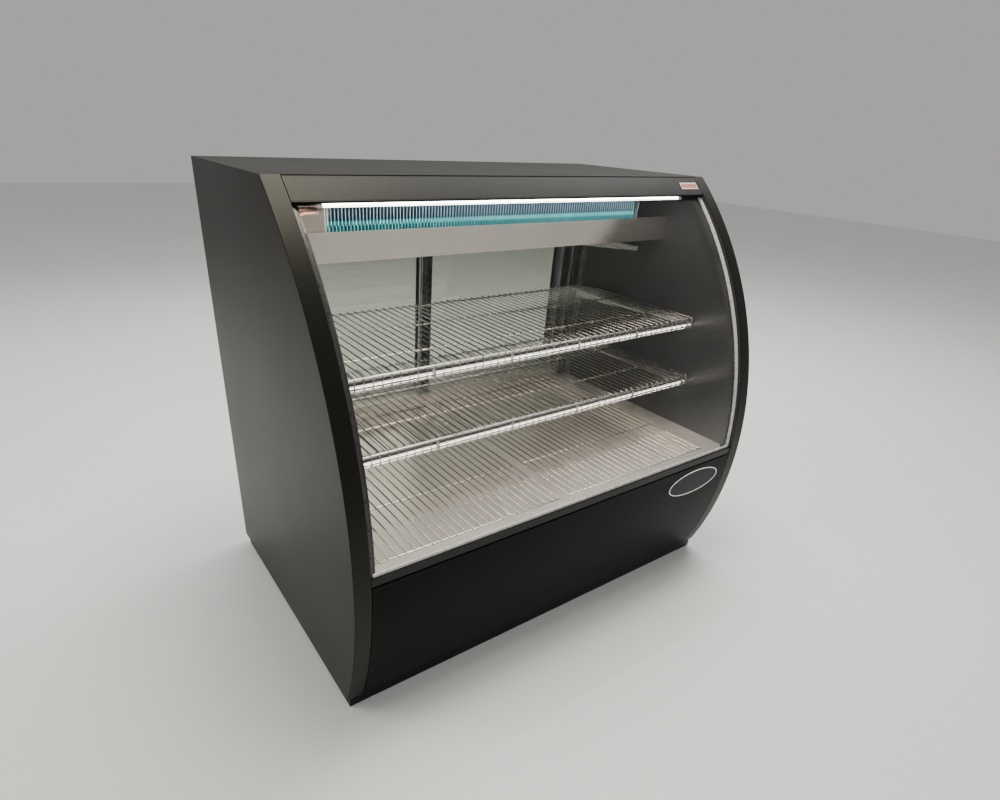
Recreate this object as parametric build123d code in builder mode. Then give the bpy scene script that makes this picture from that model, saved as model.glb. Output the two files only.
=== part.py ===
from build123d import *
import os
from math import cos, radians, sin, sqrt

os.makedirs("parts", exist_ok=True)

# Refrigerated deli case: bowed front, tilt-out curved glass, two sliding rear doors.
# Millimetres. +Z up, -Y towards the customer, +X to the customer's right.
# The origin is on the floor under the middle of the case.

# Overall size
WIDTH = 1448
DEPTH = 948
HEIGHT = 1283
PLINTH_H = 36
BACK_Y = DEPTH / 2

# Bowed front: one arc in the YZ plane, seen from the side
BADGE_PROUD = 2
BOW_R = 1140
BOW_Z = 434
BOW_Y = -DEPTH / 2 + BADGE_PROUD + BOW_R

# Sheet and end panels
SHEET = 2
END_T = 44
INNER = WIDTH / 2 - END_T
SEAM = 2

# Front glass and its rail
GLASS_RECESS = 12
GLASS_T = 6
RAIL_T = 18
RAIL_BOTTOM = 448
RAIL_TOP = 474
RAIL_SLOT = 8
HEADER_BOTTOM = 1235
PIN_R = 4

# Refrigerated tank and deck
TANK_TOP = 470
TANK_FLOOR = 430
WELL_LEFT = -662
WELL_RIGHT = 594
WELL_FRONT = -417
WELL_BACK = 340
REAR_FRAME_Y = 371
SUCTION_X = 640
SUCTION_Y = 352

# Wire shelves and racks
WIRE_PITCH = 25
WIRE_R = 1.8
ROD_R = 3
SHELF_BACK = 311
UPPER_SHELF_Z = 860
UPPER_SHELF_FRONT = -219
LOWER_SHELF_Z = 665
LOWER_SHELF_FRONT = -249
SHELF_DROP = 36
RACK_W = 606
PILASTER_Y = 326

# Gravity coil and drip pan under the ceiling
COIL_LENGTH = 1092
FIN_PITCH = 9.5
FIN_T = 0.6
TUBE_R = 5

# Rear doors
DOOR_BOTTOM = 487
DOOR_TOP = 1099
DOOR_T = 18
DOOR_LAP = 20
DOOR_EDGE = 648
INNER_TRACK_Y = 424
OUTER_TRACK_Y = 446
STILE = 40

# Machine compartment
PANEL_Y = 466
DECK_Z = 78
FAN_X = -430
FAN_Z = 215
FAN_R = 118

RAIL_Z = RAIL_BOTTOM + RAIL_T / 2
RAIL_R = BOW_R - GLASS_RECESS + 1


def bow_y(z, radius=BOW_R):
    """Y of the bowed front, or of an arc concentric with it, at height z."""
    return BOW_Y - sqrt(radius**2 - (z - BOW_Z) ** 2)


PIVOT_Y = bow_y(RAIL_Z, RAIL_R)


def bowed_strip(outer, inner, low, high):
    """Section between two concentric arcs, cut off level at both ends."""
    middle = (low + high) / 2
    with BuildLine() as outline:
        front = ThreePointArc(
            (bow_y(low, outer), low), (bow_y(middle, outer), middle), (bow_y(high, outer), high)
        )
        back = ThreePointArc(
            (bow_y(low, inner), low), (bow_y(middle, inner), middle), (bow_y(high, inner), high)
        )
        Line(front @ 0, back @ 0)
        Line(front @ 1, back @ 1)
    make_face(outline.line)


def end_profile(inset=0.0):
    """Side outline of the case: bowed front, level top and bottom, upright back."""
    low = PLINTH_H + inset
    high = HEIGHT - inset
    back = BACK_Y - inset
    radius = BOW_R - inset
    with BuildLine() as outline:
        front = ThreePointArc(
            (bow_y(low, radius), low), (bow_y(BOW_Z, radius), BOW_Z), (bow_y(high, radius), high)
        )
        Polyline(front @ 1, (back, high), (back, low), front @ 0)
    make_face(outline.line)


def block(x0, x1, y0, y1, z0, z1, mode=Mode.ADD):
    """A box between two corners, in the active part."""
    with Locations(((x0 + x1) / 2, (y0 + y1) / 2, (z0 + z1) / 2)):
        Box(x1 - x0, y1 - y0, z1 - z0, mode=mode)


# ---------------------------------------------------------------- base
SCREW_XS = (-660, -330, 0, 330, 660)
SCREW_ZS = (52, 457)
FRAME_X = 676
FRAME_FRONT = -376
FRAME_BACK = 464
FRAME_TOP = PLINTH_H + 40
FOOT_X = 656
FOOT_YS = (-356, 420)
POST = 30

# Channel ring with a floor sheet, four corner posts and two bearers for the tank
with BuildPart() as base_frame:
    block(-FRAME_X, FRAME_X, FRAME_FRONT, FRAME_BACK, PLINTH_H, FRAME_TOP)
    block(-FRAME_X + 3, FRAME_X - 3, FRAME_FRONT + 3, FRAME_BACK - 3, PLINTH_H + 3, FRAME_TOP - 3,
          mode=Mode.SUBTRACT)
    block(-FRAME_X + 40, FRAME_X - 40, FRAME_FRONT + 40, FRAME_BACK - 40, PLINTH_H, PLINTH_H + 3,
          mode=Mode.SUBTRACT)
    block(-FRAME_X, FRAME_X, FRAME_FRONT, FRAME_BACK, FRAME_TOP, DECK_Z)
    for side in (-1, 1):
        for y in (FRAME_FRONT, 290):
            corner = side * (FRAME_X - POST / 2)
            block(corner - POST / 2, corner + POST / 2, y, y + 3, DECK_Z, 377)
            edge = side * (FRAME_X - 1.5)
            block(edge - 1.5, edge + 1.5, y, y + POST, DECK_Z, 377)
        block(corner - POST / 2, corner + POST / 2, FRAME_FRONT, 320, 377, 380)
    for y in FOOT_YS:
        with Locations((-FOOT_X, y, PLINTH_H), (FOOT_X, y, PLINTH_H)):
            Cylinder(6.5, 10, mode=Mode.SUBTRACT)
    for x in SCREW_XS:
        with Locations((x, FRAME_BACK, SCREW_ZS[0])):
            Cylinder(2.1, 20, rotation=(90, 0, 0), mode=Mode.SUBTRACT)
base_frame.part.label = "base_frame"

# Black skirt standing just clear of the floor
KICK_X = 716
KICK_FRONT = -396
KICK_BACK = 460
with BuildPart() as toe_kick:
    block(-KICK_X, KICK_X, KICK_FRONT, KICK_BACK, 3, PLINTH_H)
    block(-KICK_X + SHEET, KICK_X - SHEET, KICK_FRONT + SHEET, KICK_BACK - SHEET, 3, PLINTH_H,
          mode=Mode.SUBTRACT)
toe_kick.part.label = "toe_kick"

# Pads with threaded stems and lock nuts
with BuildPart() as levelling_feet:
    for y in FOOT_YS:
        with Locations((-FOOT_X, y), (FOOT_X, y)):
            Cylinder(25, 8, align=(Align.CENTER, Align.CENTER, Align.MIN))
            Cylinder(6, 54, align=(Align.CENTER, Align.CENTER, Align.MIN))
    with BuildSketch(Plane.XY.offset(27)):
        for y in FOOT_YS:
            with Locations((-FOOT_X, y), (FOOT_X, y)):
                RegularPolygon(11, 6)
    extrude(amount=8.8)
    chamfer(levelling_feet.faces().sort_by(Axis.Z)[:4].edges(), 1.5)
levelling_feet.part.label = "levelling_feet"


# ---------------------------------------------------------------- end panels
def make_end_skin(side):
    """Outer sheet of one end panel: a shallow tray that opens inwards."""
    outer = side * WIDTH / 2
    with BuildPart() as skin:
        with BuildSketch(Plane.YZ.offset(outer)):
            end_profile()
        extrude(amount=-side * END_T)
        with BuildSketch(Plane.YZ.offset(outer - side * SHEET)):
            end_profile(inset=SHEET)
        extrude(amount=-side * END_T, mode=Mode.SUBTRACT)
        fillet(skin.faces().filter_by(Axis.X).sort_by(SortBy.AREA)[-1].edges(), 1.2)
    return skin


left_end_skin = make_end_skin(-1)
left_end_skin.part.label = "left_end_skin"
right_end_skin = make_end_skin(1)
right_end_skin.part.label = "right_end_skin"

BUSH_R = 7
BUSH_DEPTH = 12

# Foam in both end panels and in the top
with BuildPart() as panel_foam_cores:
    for side in (-1, 1):
        with BuildSketch(Plane.YZ.offset(side * (INNER + SHEET))):
            end_profile(inset=SHEET + 0.5)
        extrude(amount=side * (END_T - 2 * SHEET))
    block(-INNER + 3, INNER - 3, -60, BACK_Y - 4, HEADER_BOTTOM + 2.5, HEIGHT - 2.5)
    with BuildSketch(Plane.YZ.offset(-INNER - BUSH_DEPTH)):
        with Locations((PIVOT_Y, RAIL_Z)):
            Circle(BUSH_R + 0.1)
    extrude(amount=2 * (INNER + BUSH_DEPTH), mode=Mode.SUBTRACT)
panel_foam_cores.part.label = "panel_foam_cores"

# Dark inner linings of the end panels
with BuildPart() as end_panel_liners:
    for side in (-1, 1):
        with BuildSketch(Plane.YZ.offset(side * INNER)):
            end_profile(inset=SHEET + 0.2)
        extrude(amount=side * SHEET)
    with BuildSketch(Plane.YZ.offset(-INNER - SHEET)):
        with Locations((PIVOT_Y, RAIL_Z)):
            Circle(BUSH_R + 0.1)
    extrude(amount=2 * (INNER + SHEET), mode=Mode.SUBTRACT)
end_panel_liners.part.label = "end_panel_liners"

# Nylon bushes in the end panels, which carry the hinge pins of the glass
with BuildPart() as glass_hinge_bushes:
    for side in (-1, 1):
        with BuildSketch(Plane.YZ.offset(side * (INNER - 1.4))):
            with Locations((PIVOT_Y, RAIL_Z)):
                Circle(8)
                Circle(PIN_R + 0.05, mode=Mode.SUBTRACT)
        extrude(amount=side * 1.4)
        with BuildSketch(Plane.YZ.offset(side * INNER)):
            with Locations((PIVOT_Y, RAIL_Z)):
                Circle(BUSH_R)
                Circle(PIN_R + 0.05, mode=Mode.SUBTRACT)
        extrude(amount=side * BUSH_DEPTH)
glass_hinge_bushes.part.label = "glass_hinge_bushes"

# ---------------------------------------------------------------- top and header
TOP_FRONT = bow_y(HEIGHT - SHEET)
with BuildPart() as top_panel:
    block(-INNER + 0.5, INNER - 0.5, TOP_FRONT, BACK_Y, HEIGHT - SHEET, HEIGHT)
    block(-INNER + 0.5, INNER - 0.5, BACK_Y - SHEET, BACK_Y, HEADER_BOTTOM, HEIGHT - SHEET)
top_panel.part.label = "top_panel"

with BuildPart() as ceiling_liner:
    block(-INNER + 1, INNER - 1, -97, BACK_Y - 3, HEADER_BOTTOM, HEADER_BOTTOM + SHEET)
ceiling_liner.part.label = "ceiling_liner"

# Sloping fascia with a flange along its lower edge
with BuildPart() as header_fascia:
    with BuildSketch(Plane.YZ.offset(-INNER + SEAM)):
        bowed_strip(BOW_R, BOW_R - SHEET, HEADER_BOTTOM, HEIGHT - SHEET - 0.2)
    extrude(amount=2 * (INNER - SEAM))
    block(-INNER + SEAM, INNER - SEAM, bow_y(HEADER_BOTTOM, BOW_R - 1), -98, HEADER_BOTTOM,
          HEADER_BOTTOM + SHEET)
header_fascia.part.label = "header_fascia"

# ---------------------------------------------------------------- lower front
FRONT_TOP = RAIL_BOTTOM + 4
FLANGE_TOP = RAIL_BOTTOM - 3
with BuildPart() as lower_front_panel:
    with BuildSketch(Plane.YZ.offset(-INNER + SEAM)):
        bowed_strip(BOW_R, BOW_R - SHEET, PLINTH_H, FRONT_TOP)
        bowed_strip(BOW_R - 1, BOW_R - 18, FLANGE_TOP - SHEET, FLANGE_TOP)
        bowed_strip(BOW_R - 1, BOW_R - 18, PLINTH_H, PLINTH_H + SHEET)
    extrude(amount=2 * (INNER - SEAM))
lower_front_panel.part.label = "lower_front_panel"

# Plain oval badge with a raised rim, bent to the panel
BADGE_X = 508
BADGE_Z = 392
with BuildPart() as badge_plate:
    with BuildSketch(Plane.XZ.offset(DEPTH / 2 + 20)):
        with Locations((BADGE_X, BADGE_Z)):
            Ellipse(124, 45)
    extrude(amount=-80)
    with BuildSketch(Plane.YZ.offset(BADGE_X - 150)):
        bowed_strip(BOW_R + 1.2, BOW_R + 0.05, BADGE_Z - 60, BADGE_Z + 60)
    extrude(amount=300, mode=Mode.INTERSECT)
with BuildPart() as badge_rim:
    with BuildSketch(Plane.XZ.offset(DEPTH / 2 + 20)):
        with Locations((BADGE_X, BADGE_Z)):
            Ellipse(124, 45)
            Ellipse(120.5, 41.5, mode=Mode.SUBTRACT)
    extrude(amount=-80)
    with BuildSketch(Plane.YZ.offset(BADGE_X - 150)):
        bowed_strip(BOW_R + BADGE_PROUD, BOW_R + 1, BADGE_Z - 60, BADGE_Z + 60)
    extrude(amount=300, mode=Mode.INTERSECT)
with badge_plate:
    add(badge_rim.part)
badge_plate.part.label = "badge_plate"

# ---------------------------------------------------------------- front glass
GLASS_OUTER = BOW_R - GLASS_RECESS
GLASS_INNER = GLASS_OUTER - GLASS_T
GLASS_X = INNER - 4
GLASS_TOP = HEADER_BOTTOM - 10
SLOT_BOTTOM = RAIL_TOP - RAIL_SLOT

with BuildPart() as front_glass:
    with BuildSketch(Plane.YZ.offset(-GLASS_X)):
        bowed_strip(GLASS_OUTER, GLASS_INNER, SLOT_BOTTOM + 0.3, GLASS_TOP)
    extrude(amount=2 * GLASS_X)
front_glass.part.label = "front_glass"

# Bright channel on both side edges of the glass and a strip along the rail
TRIM_X = INNER - 2
TRIM_W = 8
with BuildPart() as glass_edge_trim:
    for side in (-1, 1):
        with BuildSketch(Plane.YZ.offset(side * TRIM_X)):
            bowed_strip(GLASS_OUTER + 1.6, GLASS_INNER - 1.6, RAIL_TOP + 0.1, GLASS_TOP)
        extrude(amount=-side * TRIM_W)
    with BuildSketch(Plane.YZ.offset(-TRIM_X + TRIM_W)):
        bowed_strip(GLASS_OUTER + 1.6, GLASS_OUTER + 0.1, RAIL_TOP + 0.1, RAIL_TOP + 10)
    extrude(amount=2 * (TRIM_X - TRIM_W))
    with BuildSketch(Plane.YZ.offset(-GLASS_X - 0.1)):
        bowed_strip(GLASS_OUTER + 0.1, GLASS_INNER - 0.1, RAIL_TOP, GLASS_TOP)
    extrude(amount=2 * GLASS_X + 0.2, mode=Mode.SUBTRACT)
glass_edge_trim.part.label = "glass_edge_trim"

# Rail that holds the glass: rounded under, so that it turns about its own lower edge
with BuildPart() as glass_hinge_rail:
    with BuildSketch(Plane.YZ.offset(-TRIM_X)):
        bowed_strip(RAIL_R + RAIL_T / 2, RAIL_R - RAIL_T / 2, RAIL_Z, RAIL_TOP)
        with Locations((PIVOT_Y, RAIL_Z)):
            Circle(RAIL_T / 2)
    extrude(amount=2 * TRIM_X)
    with BuildSketch(Plane.YZ.offset(-TRIM_X)):
        bowed_strip(GLASS_OUTER + 0.1, GLASS_INNER - 0.1, SLOT_BOTTOM, RAIL_TOP + 1)
    extrude(amount=2 * TRIM_X, mode=Mode.SUBTRACT)
    for side in (-1, 1):
        with BuildSketch(Plane.YZ.offset(side * (TRIM_X - 30))):
            with Locations((PIVOT_Y, RAIL_Z)):
                Circle(PIN_R + 0.02)
        extrude(amount=side * 30, mode=Mode.SUBTRACT)
glass_hinge_rail.part.label = "glass_hinge_rail"

with BuildPart() as glass_hinge_pins:
    for side in (-1, 1):
        with BuildSketch(Plane.YZ.offset(side * (TRIM_X - 29.5))):
            with Locations((PIVOT_Y, RAIL_Z)):
                Circle(PIN_R)
        extrude(amount=side * (29.5 + INNER - TRIM_X + BUSH_DEPTH - 0.5))
glass_hinge_pins.part.label = "glass_hinge_pins"

# Gaskets that the glass closes against at each end, and a wiper under the header
GASKET_OUTER = GLASS_INNER - 2
with BuildPart() as glass_gaskets:
    for side in (-1, 1):
        with BuildSketch(Plane.YZ.offset(side * (INNER - 0.1))):
            bowed_strip(GASKET_OUTER, GASKET_OUTER - 12, TANK_TOP + 0.5, HEADER_BOTTOM - 0.2)
        extrude(amount=-side * 20)
    with BuildSketch(Plane.YZ.offset(-INNER + 20.5)):
        bowed_strip(GLASS_OUTER, GLASS_INNER, HEADER_BOTTOM - 5.5, HEADER_BOTTOM - 0.2)
    extrude(amount=2 * (INNER - 20.5))
glass_gaskets.part.label = "glass_gaskets"

# ---------------------------------------------------------------- tank
LEDGE_FRONT = -449
with BuildPart() as tank_liner:
    block(-INNER + 1, INNER - 1, LEDGE_FRONT, REAR_FRAME_Y - 0.5, TANK_TOP - SHEET, TANK_TOP)
    block(-INNER + 1, INNER - 1, LEDGE_FRONT, LEDGE_FRONT + SHEET, TANK_TOP - 18, TANK_TOP - SHEET)
    block(WELL_LEFT - SHEET, WELL_RIGHT + SHEET, WELL_FRONT - SHEET, WELL_BACK + SHEET,
          TANK_FLOOR - SHEET, TANK_TOP - SHEET)
    block(WELL_LEFT, WELL_RIGHT, WELL_FRONT, WELL_BACK, TANK_FLOOR, TANK_TOP + 1, mode=Mode.SUBTRACT)
    with Locations((-32, 250, TANK_FLOOR)):
        Cylinder(18, 20, mode=Mode.SUBTRACT)
    with Locations((SUCTION_X, SUCTION_Y, TANK_TOP)):
        Cylinder(10, 20, mode=Mode.SUBTRACT)
tank_liner.part.label = "tank_liner"

# Foam slab under the tank and foam blocks round its well
FOAM_BOTTOM = 380.2
FOAM_TOP = TANK_TOP - SHEET - 0.5
FOAM_MID = TANK_FLOOR - SHEET - 0.5
with BuildPart() as tank_insulation:
    block(-INNER + 4, INNER - 4, -438, 361, FOAM_BOTTOM, FOAM_MID)
    block(-INNER + 4, INNER - 4, -438, WELL_FRONT - SHEET - 0.5, FOAM_MID + 0.2, FOAM_TOP)
    block(-INNER + 4, SUCTION_X - 14, WELL_BACK + SHEET + 0.5, 361, FOAM_MID + 0.2, FOAM_TOP)
    block(-INNER + 4, WELL_LEFT - SHEET - 0.5, WELL_FRONT, WELL_BACK, FOAM_MID + 0.2, FOAM_TOP)
    block(WELL_RIGHT + SHEET + 0.5, INNER - 4, WELL_FRONT, 330, FOAM_MID + 0.2, FOAM_TOP)
    with Locations((-32, 250, 400)):
        Cylinder(19, 100, mode=Mode.SUBTRACT)
    with Locations((SUCTION_X, SUCTION_Y, 400)):
        Cylinder(11, 100, mode=Mode.SUBTRACT)
tank_insulation.part.label = "tank_insulation"

# Drain: strainer flange in the well and a spigot down to the condensate pan
with BuildPart() as drain_fitting:
    with Locations((-32, 250, TANK_FLOOR + 0.1)):
        Cylinder(27, 2, align=(Align.CENTER, Align.CENTER, Align.MIN))
    with Locations((-32, 250, 130)):
        Cylinder(17.5, TANK_FLOOR - 129, align=(Align.CENTER, Align.CENTER, Align.MIN))
        Cylinder(14.5, TANK_FLOOR - 131, align=(Align.CENTER, Align.CENTER, Align.MIN),
                 mode=Mode.SUBTRACT)
    with Locations((-32, 250, TANK_FLOOR)):
        with PolarLocations(8, 6):
            Cylinder(2.5, 20, mode=Mode.SUBTRACT)
drain_fitting.part.label = "drain_fitting"

with BuildPart() as condensate_pan:
    block(-160, 100, 130, 380, DECK_Z, 120)
    block(-158, 98, 132, 378, DECK_Z + SHEET, 121, mode=Mode.SUBTRACT)
condensate_pan.part.label = "condensate_pan"

# ---------------------------------------------------------------- header light
LIGHT_X = 612
LIGHT_Y = -90
with BuildPart() as header_light_housing:
    block(-LIGHT_X, LIGHT_X, LIGHT_Y - 12, LIGHT_Y + 12, HEADER_BOTTOM - 8, HEADER_BOTTOM - 0.1)
    for side in (-1, 1):
        cap = side * (LIGHT_X - 2.5)
        block(cap - 2.5, cap + 2.5, LIGHT_Y - 12, LIGHT_Y + 12, HEADER_BOTTOM - 17, HEADER_BOTTOM - 8)
header_light_housing.part.label = "header_light_housing"

with BuildPart() as header_light_lens:
    with BuildSketch(Plane.YZ.offset(-LIGHT_X + 5.2)):
        with Locations((LIGHT_Y, HEADER_BOTTOM - 8.2)):
            Ellipse(11, 8.5)
            Rectangle(30, 20, align=(Align.CENTER, Align.MIN), mode=Mode.SUBTRACT)
    extrude(amount=2 * (LIGHT_X - 5.2))
header_light_lens.part.label = "header_light_lens"

# ---------------------------------------------------------------- gravity coil
COIL_ROWS = (1137, 1188)
COIL_COLS = (40, 106, 172)
FIN_COUNT = int(COIL_LENGTH / FIN_PITCH)


def coil_holes(radius):
    """One circle per tube, in the active sketch."""
    for z in COIL_ROWS:
        for y in COIL_COLS:
            with Locations((y, z)):
                Circle(radius, mode=Mode.SUBTRACT)


with BuildPart() as evaporator_fins:
    with BuildSketch(Plane.YZ.offset(-COIL_LENGTH / 2)):
        for z in COIL_ROWS:
            for y in COIL_COLS:
                with Locations((y, z)):
                    Circle(TUBE_R + 1.2)
    extrude(amount=COIL_LENGTH)
    fin_planes = [
        Plane.YZ.offset((i - (FIN_COUNT - 1) / 2) * FIN_PITCH - FIN_T / 2) for i in range(FIN_COUNT)
    ]
    with BuildSketch(*fin_planes):
        with Locations((104, COIL_ROWS[0])):
            Rectangle(200, 50)
        with Locations((112, COIL_ROWS[1])):
            Rectangle(200, 52)
    extrude(amount=FIN_T)
    with BuildSketch(Plane.YZ.offset(-COIL_LENGTH / 2)):
        for z in COIL_ROWS:
            for y in COIL_COLS:
                with Locations((y, z)):
                    Circle(TUBE_R + 0.1)
    extrude(amount=COIL_LENGTH, mode=Mode.SUBTRACT)
evaporator_fins.part.label = "evaporator_fins"

# End plates, which hang the coil from the ceiling
with BuildPart() as evaporator_end_plates:
    for side in (-1, 1):
        with BuildSketch(Plane.YZ.offset(side * (COIL_LENGTH / 2 + 0.5))):
            with Locations((108, 1106)):
                Rectangle(216, HEADER_BOTTOM - 1106.2, align=(Align.CENTER, Align.MIN))
            coil_holes(TUBE_R + 0.1)
        extrude(amount=side * SHEET)
        flange = side * (COIL_LENGTH / 2 + 12)
        block(flange - 10, flange + 10, 0, 216, HEADER_BOTTOM - 2.2, HEADER_BOTTOM - 0.2)
evaporator_end_plates.part.label = "evaporator_end_plates"

# One serpentine copper tube: upright bends at the left end, level bends at the right
BEND_X = COIL_LENGTH / 2 + 58
front_col, middle_col, back_col = COIL_COLS
low_row, high_row = COIL_ROWS
with BuildPart() as evaporator_tubes:
    with BuildLine() as coil_path:
        FilletPolyline(
            (COIL_LENGTH / 2 + 20, front_col, high_row),
            (-BEND_X, front_col, high_row),
            (-BEND_X, front_col, low_row),
            (BEND_X, front_col, low_row),
            (BEND_X, middle_col, low_row),
            (-BEND_X, middle_col, low_row),
            (-BEND_X, middle_col, high_row),
            (BEND_X, middle_col, high_row),
            (BEND_X, back_col, high_row),
            (-BEND_X, back_col, high_row),
            (-BEND_X, back_col, low_row),
            (COIL_LENGTH / 2 + 20, back_col, low_row),
            radius=24,
        )
    with BuildSketch(Plane(coil_path.line @ 0, z_dir=coil_path.line % 0)):
        Circle(TUBE_R)
    sweep(path=coil_path.line)
evaporator_tubes.part.label = "evaporator_tubes"

# Drip pan from wall to wall: folded front lip, upright front, floor falling to the back
PAN_FRONT = -16
PAN_BACK = 236
PAN_LIP = 1152
with BuildPart() as drip_pan:
    with BuildSketch(Plane.YZ.offset(-INNER + 1)):
        with BuildLine():
            Polyline((PAN_FRONT, PAN_LIP), (PAN_FRONT, 1080), (PAN_BACK, 1045.2), (PAN_BACK, 1100),
                     close=True)
        make_face()
        with BuildLine():
            Polyline((PAN_FRONT + 40, PAN_LIP + 20), (PAN_FRONT, PAN_LIP), (PAN_BACK, 1100),
                     (PAN_BACK, PAN_LIP + 20), close=True)
        make_face(mode=Mode.SUBTRACT)
    extrude(amount=2 * (INNER - 1))
    with BuildSketch(Plane.YZ.offset(-INNER + 1 + SHEET)):
        with BuildLine():
            Polyline((PAN_FRONT + 2, PAN_LIP + 5), (PAN_FRONT + 2, 1082), (PAN_BACK - 2, 1047.5),
                     (PAN_BACK - 2, 1105), close=True)
        make_face()
    extrude(amount=2 * (INNER - 1 - SHEET), mode=Mode.SUBTRACT)
    block(-INNER + 1, INNER - 1, PAN_FRONT, PAN_FRONT + 13, PAN_LIP - SHEET, PAN_LIP)
drip_pan.part.label = "drip_pan"

# ---------------------------------------------------------------- rear frame and doors
with BuildPart() as rear_jambs:
    for side in (-1, 1):
        edge = side * (INNER - 4.1)
        block(edge - 4, edge + 4, REAR_FRAME_Y, BACK_Y - 2.2, TANK_TOP + 0.2, HEADER_BOTTOM - 0.2)
rear_jambs.part.label = "rear_jambs"

JAMB_X = INNER - 8.3
with BuildPart() as jamb_seals:
    for side in (-1, 1):
        edge = side * (JAMB_X + DOOR_EDGE + 1) / 2
        half = (JAMB_X - DOOR_EDGE - 1) / 2
        block(edge - half, edge + half, INNER_TRACK_Y - 1, OUTER_TRACK_Y + DOOR_T + 1, 494.2, 1091.8)
jamb_seals.part.label = "jamb_seals"


def tracks(z0, z1):
    """Two grooves for the doors, cut from the active part."""
    for y in (INNER_TRACK_Y, OUTER_TRACK_Y):
        block(-JAMB_X - 1, JAMB_X + 1, y - 0.8, y + DOOR_T + 0.8, z0, z1, mode=Mode.SUBTRACT)


with BuildPart() as rear_sill:
    block(-JAMB_X, JAMB_X, REAR_FRAME_Y, BACK_Y - 2.2, TANK_TOP + 0.2, 494)
    tracks(DOOR_BOTTOM - 1, 495)
rear_sill.part.label = "rear_sill"

with BuildPart() as rear_head:
    block(-JAMB_X, JAMB_X, 412, BACK_Y - 2.2, 1092, HEADER_BOTTOM - 0.2)
    tracks(1091, DOOR_TOP + 6)
rear_head.part.label = "rear_head"


def make_door_frame(x0, x1, track_y):
    """Aluminium door frame with a glazing rebate and a recessed finger pull."""
    with BuildPart() as frame:
        block(x0, x1, track_y, track_y + DOOR_T, DOOR_BOTTOM, DOOR_TOP)
        block(x0 + STILE, x1 - STILE, track_y, track_y + DOOR_T, DOOR_BOTTOM + STILE, DOOR_TOP - STILE,
              mode=Mode.SUBTRACT)
        block(x0 + STILE - 8, x1 - STILE + 8, track_y + 2, track_y + DOOR_T - 2,
              DOOR_BOTTOM + STILE - 8, DOOR_TOP - STILE + 8, mode=Mode.SUBTRACT)
        edge = frame.part.bounding_box().max.X if x1 > DOOR_LAP else frame.part.bounding_box().min.X
        inward = -1 if x1 > DOOR_LAP else 1
        pull = edge + inward * STILE / 2
        block(pull - 9, pull + 9, track_y + DOOR_T - 6, track_y + DOOR_T, 700, 860, mode=Mode.SUBTRACT)
    return frame


def make_door_glass(x0, x1, track_y):
    """Double glazing: two panes with a gap between them."""
    with BuildPart() as glass:
        for y in (track_y + 2.1, track_y + DOOR_T - 6.1):
            block(x0 + STILE - 7.8, x1 - STILE + 7.8, y, y + 4, DOOR_BOTTOM + STILE - 7.8,
                  DOOR_TOP - STILE + 7.8)
    return glass


left_door_frame = make_door_frame(-DOOR_EDGE, DOOR_LAP, OUTER_TRACK_Y)
left_door_frame.part.label = "left_door_frame"
left_door_glass = make_door_glass(-DOOR_EDGE, DOOR_LAP, OUTER_TRACK_Y)
left_door_glass.part.label = "left_door_glass"
right_door_frame = make_door_frame(-DOOR_LAP, DOOR_EDGE, INNER_TRACK_Y)
right_door_frame.part.label = "right_door_frame"
right_door_glass = make_door_glass(-DOOR_LAP, DOOR_EDGE, INNER_TRACK_Y)
right_door_glass.part.label = "right_door_glass"

# ---------------------------------------------------------------- shelves
SLOT_PITCH = 25
PILASTER_X = 668
SLOT_0 = 507.5
with BuildPart() as pilasters:
    for side in (-1, 1):
        x = side * PILASTER_X
        block(x - 11.5, x + 11.5, PILASTER_Y, PILASTER_Y + 12, TANK_TOP + 0.2, HEADER_BOTTOM - 0.2)
        block(x - 9.5, x + 9.5, PILASTER_Y + 2, PILASTER_Y + 12, TANK_TOP, HEADER_BOTTOM,
              mode=Mode.SUBTRACT)
    slots = [
        (side * PILASTER_X, PILASTER_Y, SLOT_0 + k * SLOT_PITCH) for side in (-1, 1) for k in range(24)
    ]
    with Locations(*slots):
        Box(3.6, 10, 12, mode=Mode.SUBTRACT)
pilasters.part.label = "pilasters"


def arm(side, front, top, flange, deep):
    """Cantilever arm: tapered web, level flange and two hooks in the pilaster's slots."""
    web = side * PILASTER_X
    rear = PILASTER_Y - 0.2
    with BuildSketch(Plane.YZ.offset(web - 1.25)) as section:
        with BuildLine():
            Polyline((rear, top), (front, top), (front, top - 18), (rear, top - deep), close=True)
        make_face()
    extrude(section.sketch, amount=2.5)
    edge = sorted((web + side * 1.25, web - side * flange))
    block(edge[0], edge[1], front, rear, top - 2.5, top)
    slot = SLOT_0 + SLOT_PITCH * int((top - 12 - SLOT_0) / SLOT_PITCH)
    block(web - 1.25, web + 1.25, rear, PILASTER_Y + 8, slot - 5, slot + 5)


WELD = 0.6
SHELF_T = 2 * WIRE_R + 2 * ROD_R - WELD
ARM_TOPS = (UPPER_SHELF_Z - SHELF_T - 0.05, LOWER_SHELF_Z - SHELF_T - 0.05)
with BuildPart() as shelf_brackets:
    for side in (-1, 1):
        arm(side, UPPER_SHELF_FRONT + 22, ARM_TOPS[0], 72, 48)
        arm(side, LOWER_SHELF_FRONT + 22, ARM_TOPS[1], 72, 48)
        arm(side, 72, 1045, 26, 42)
shelf_brackets.part.label = "shelf_brackets"

SHELF_X = 676
WIRE_COUNT = 54
ROD_YS_UPPER = (-94, 111, 300)
ROD_YS_LOWER = (-103, 98, 300)


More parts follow.
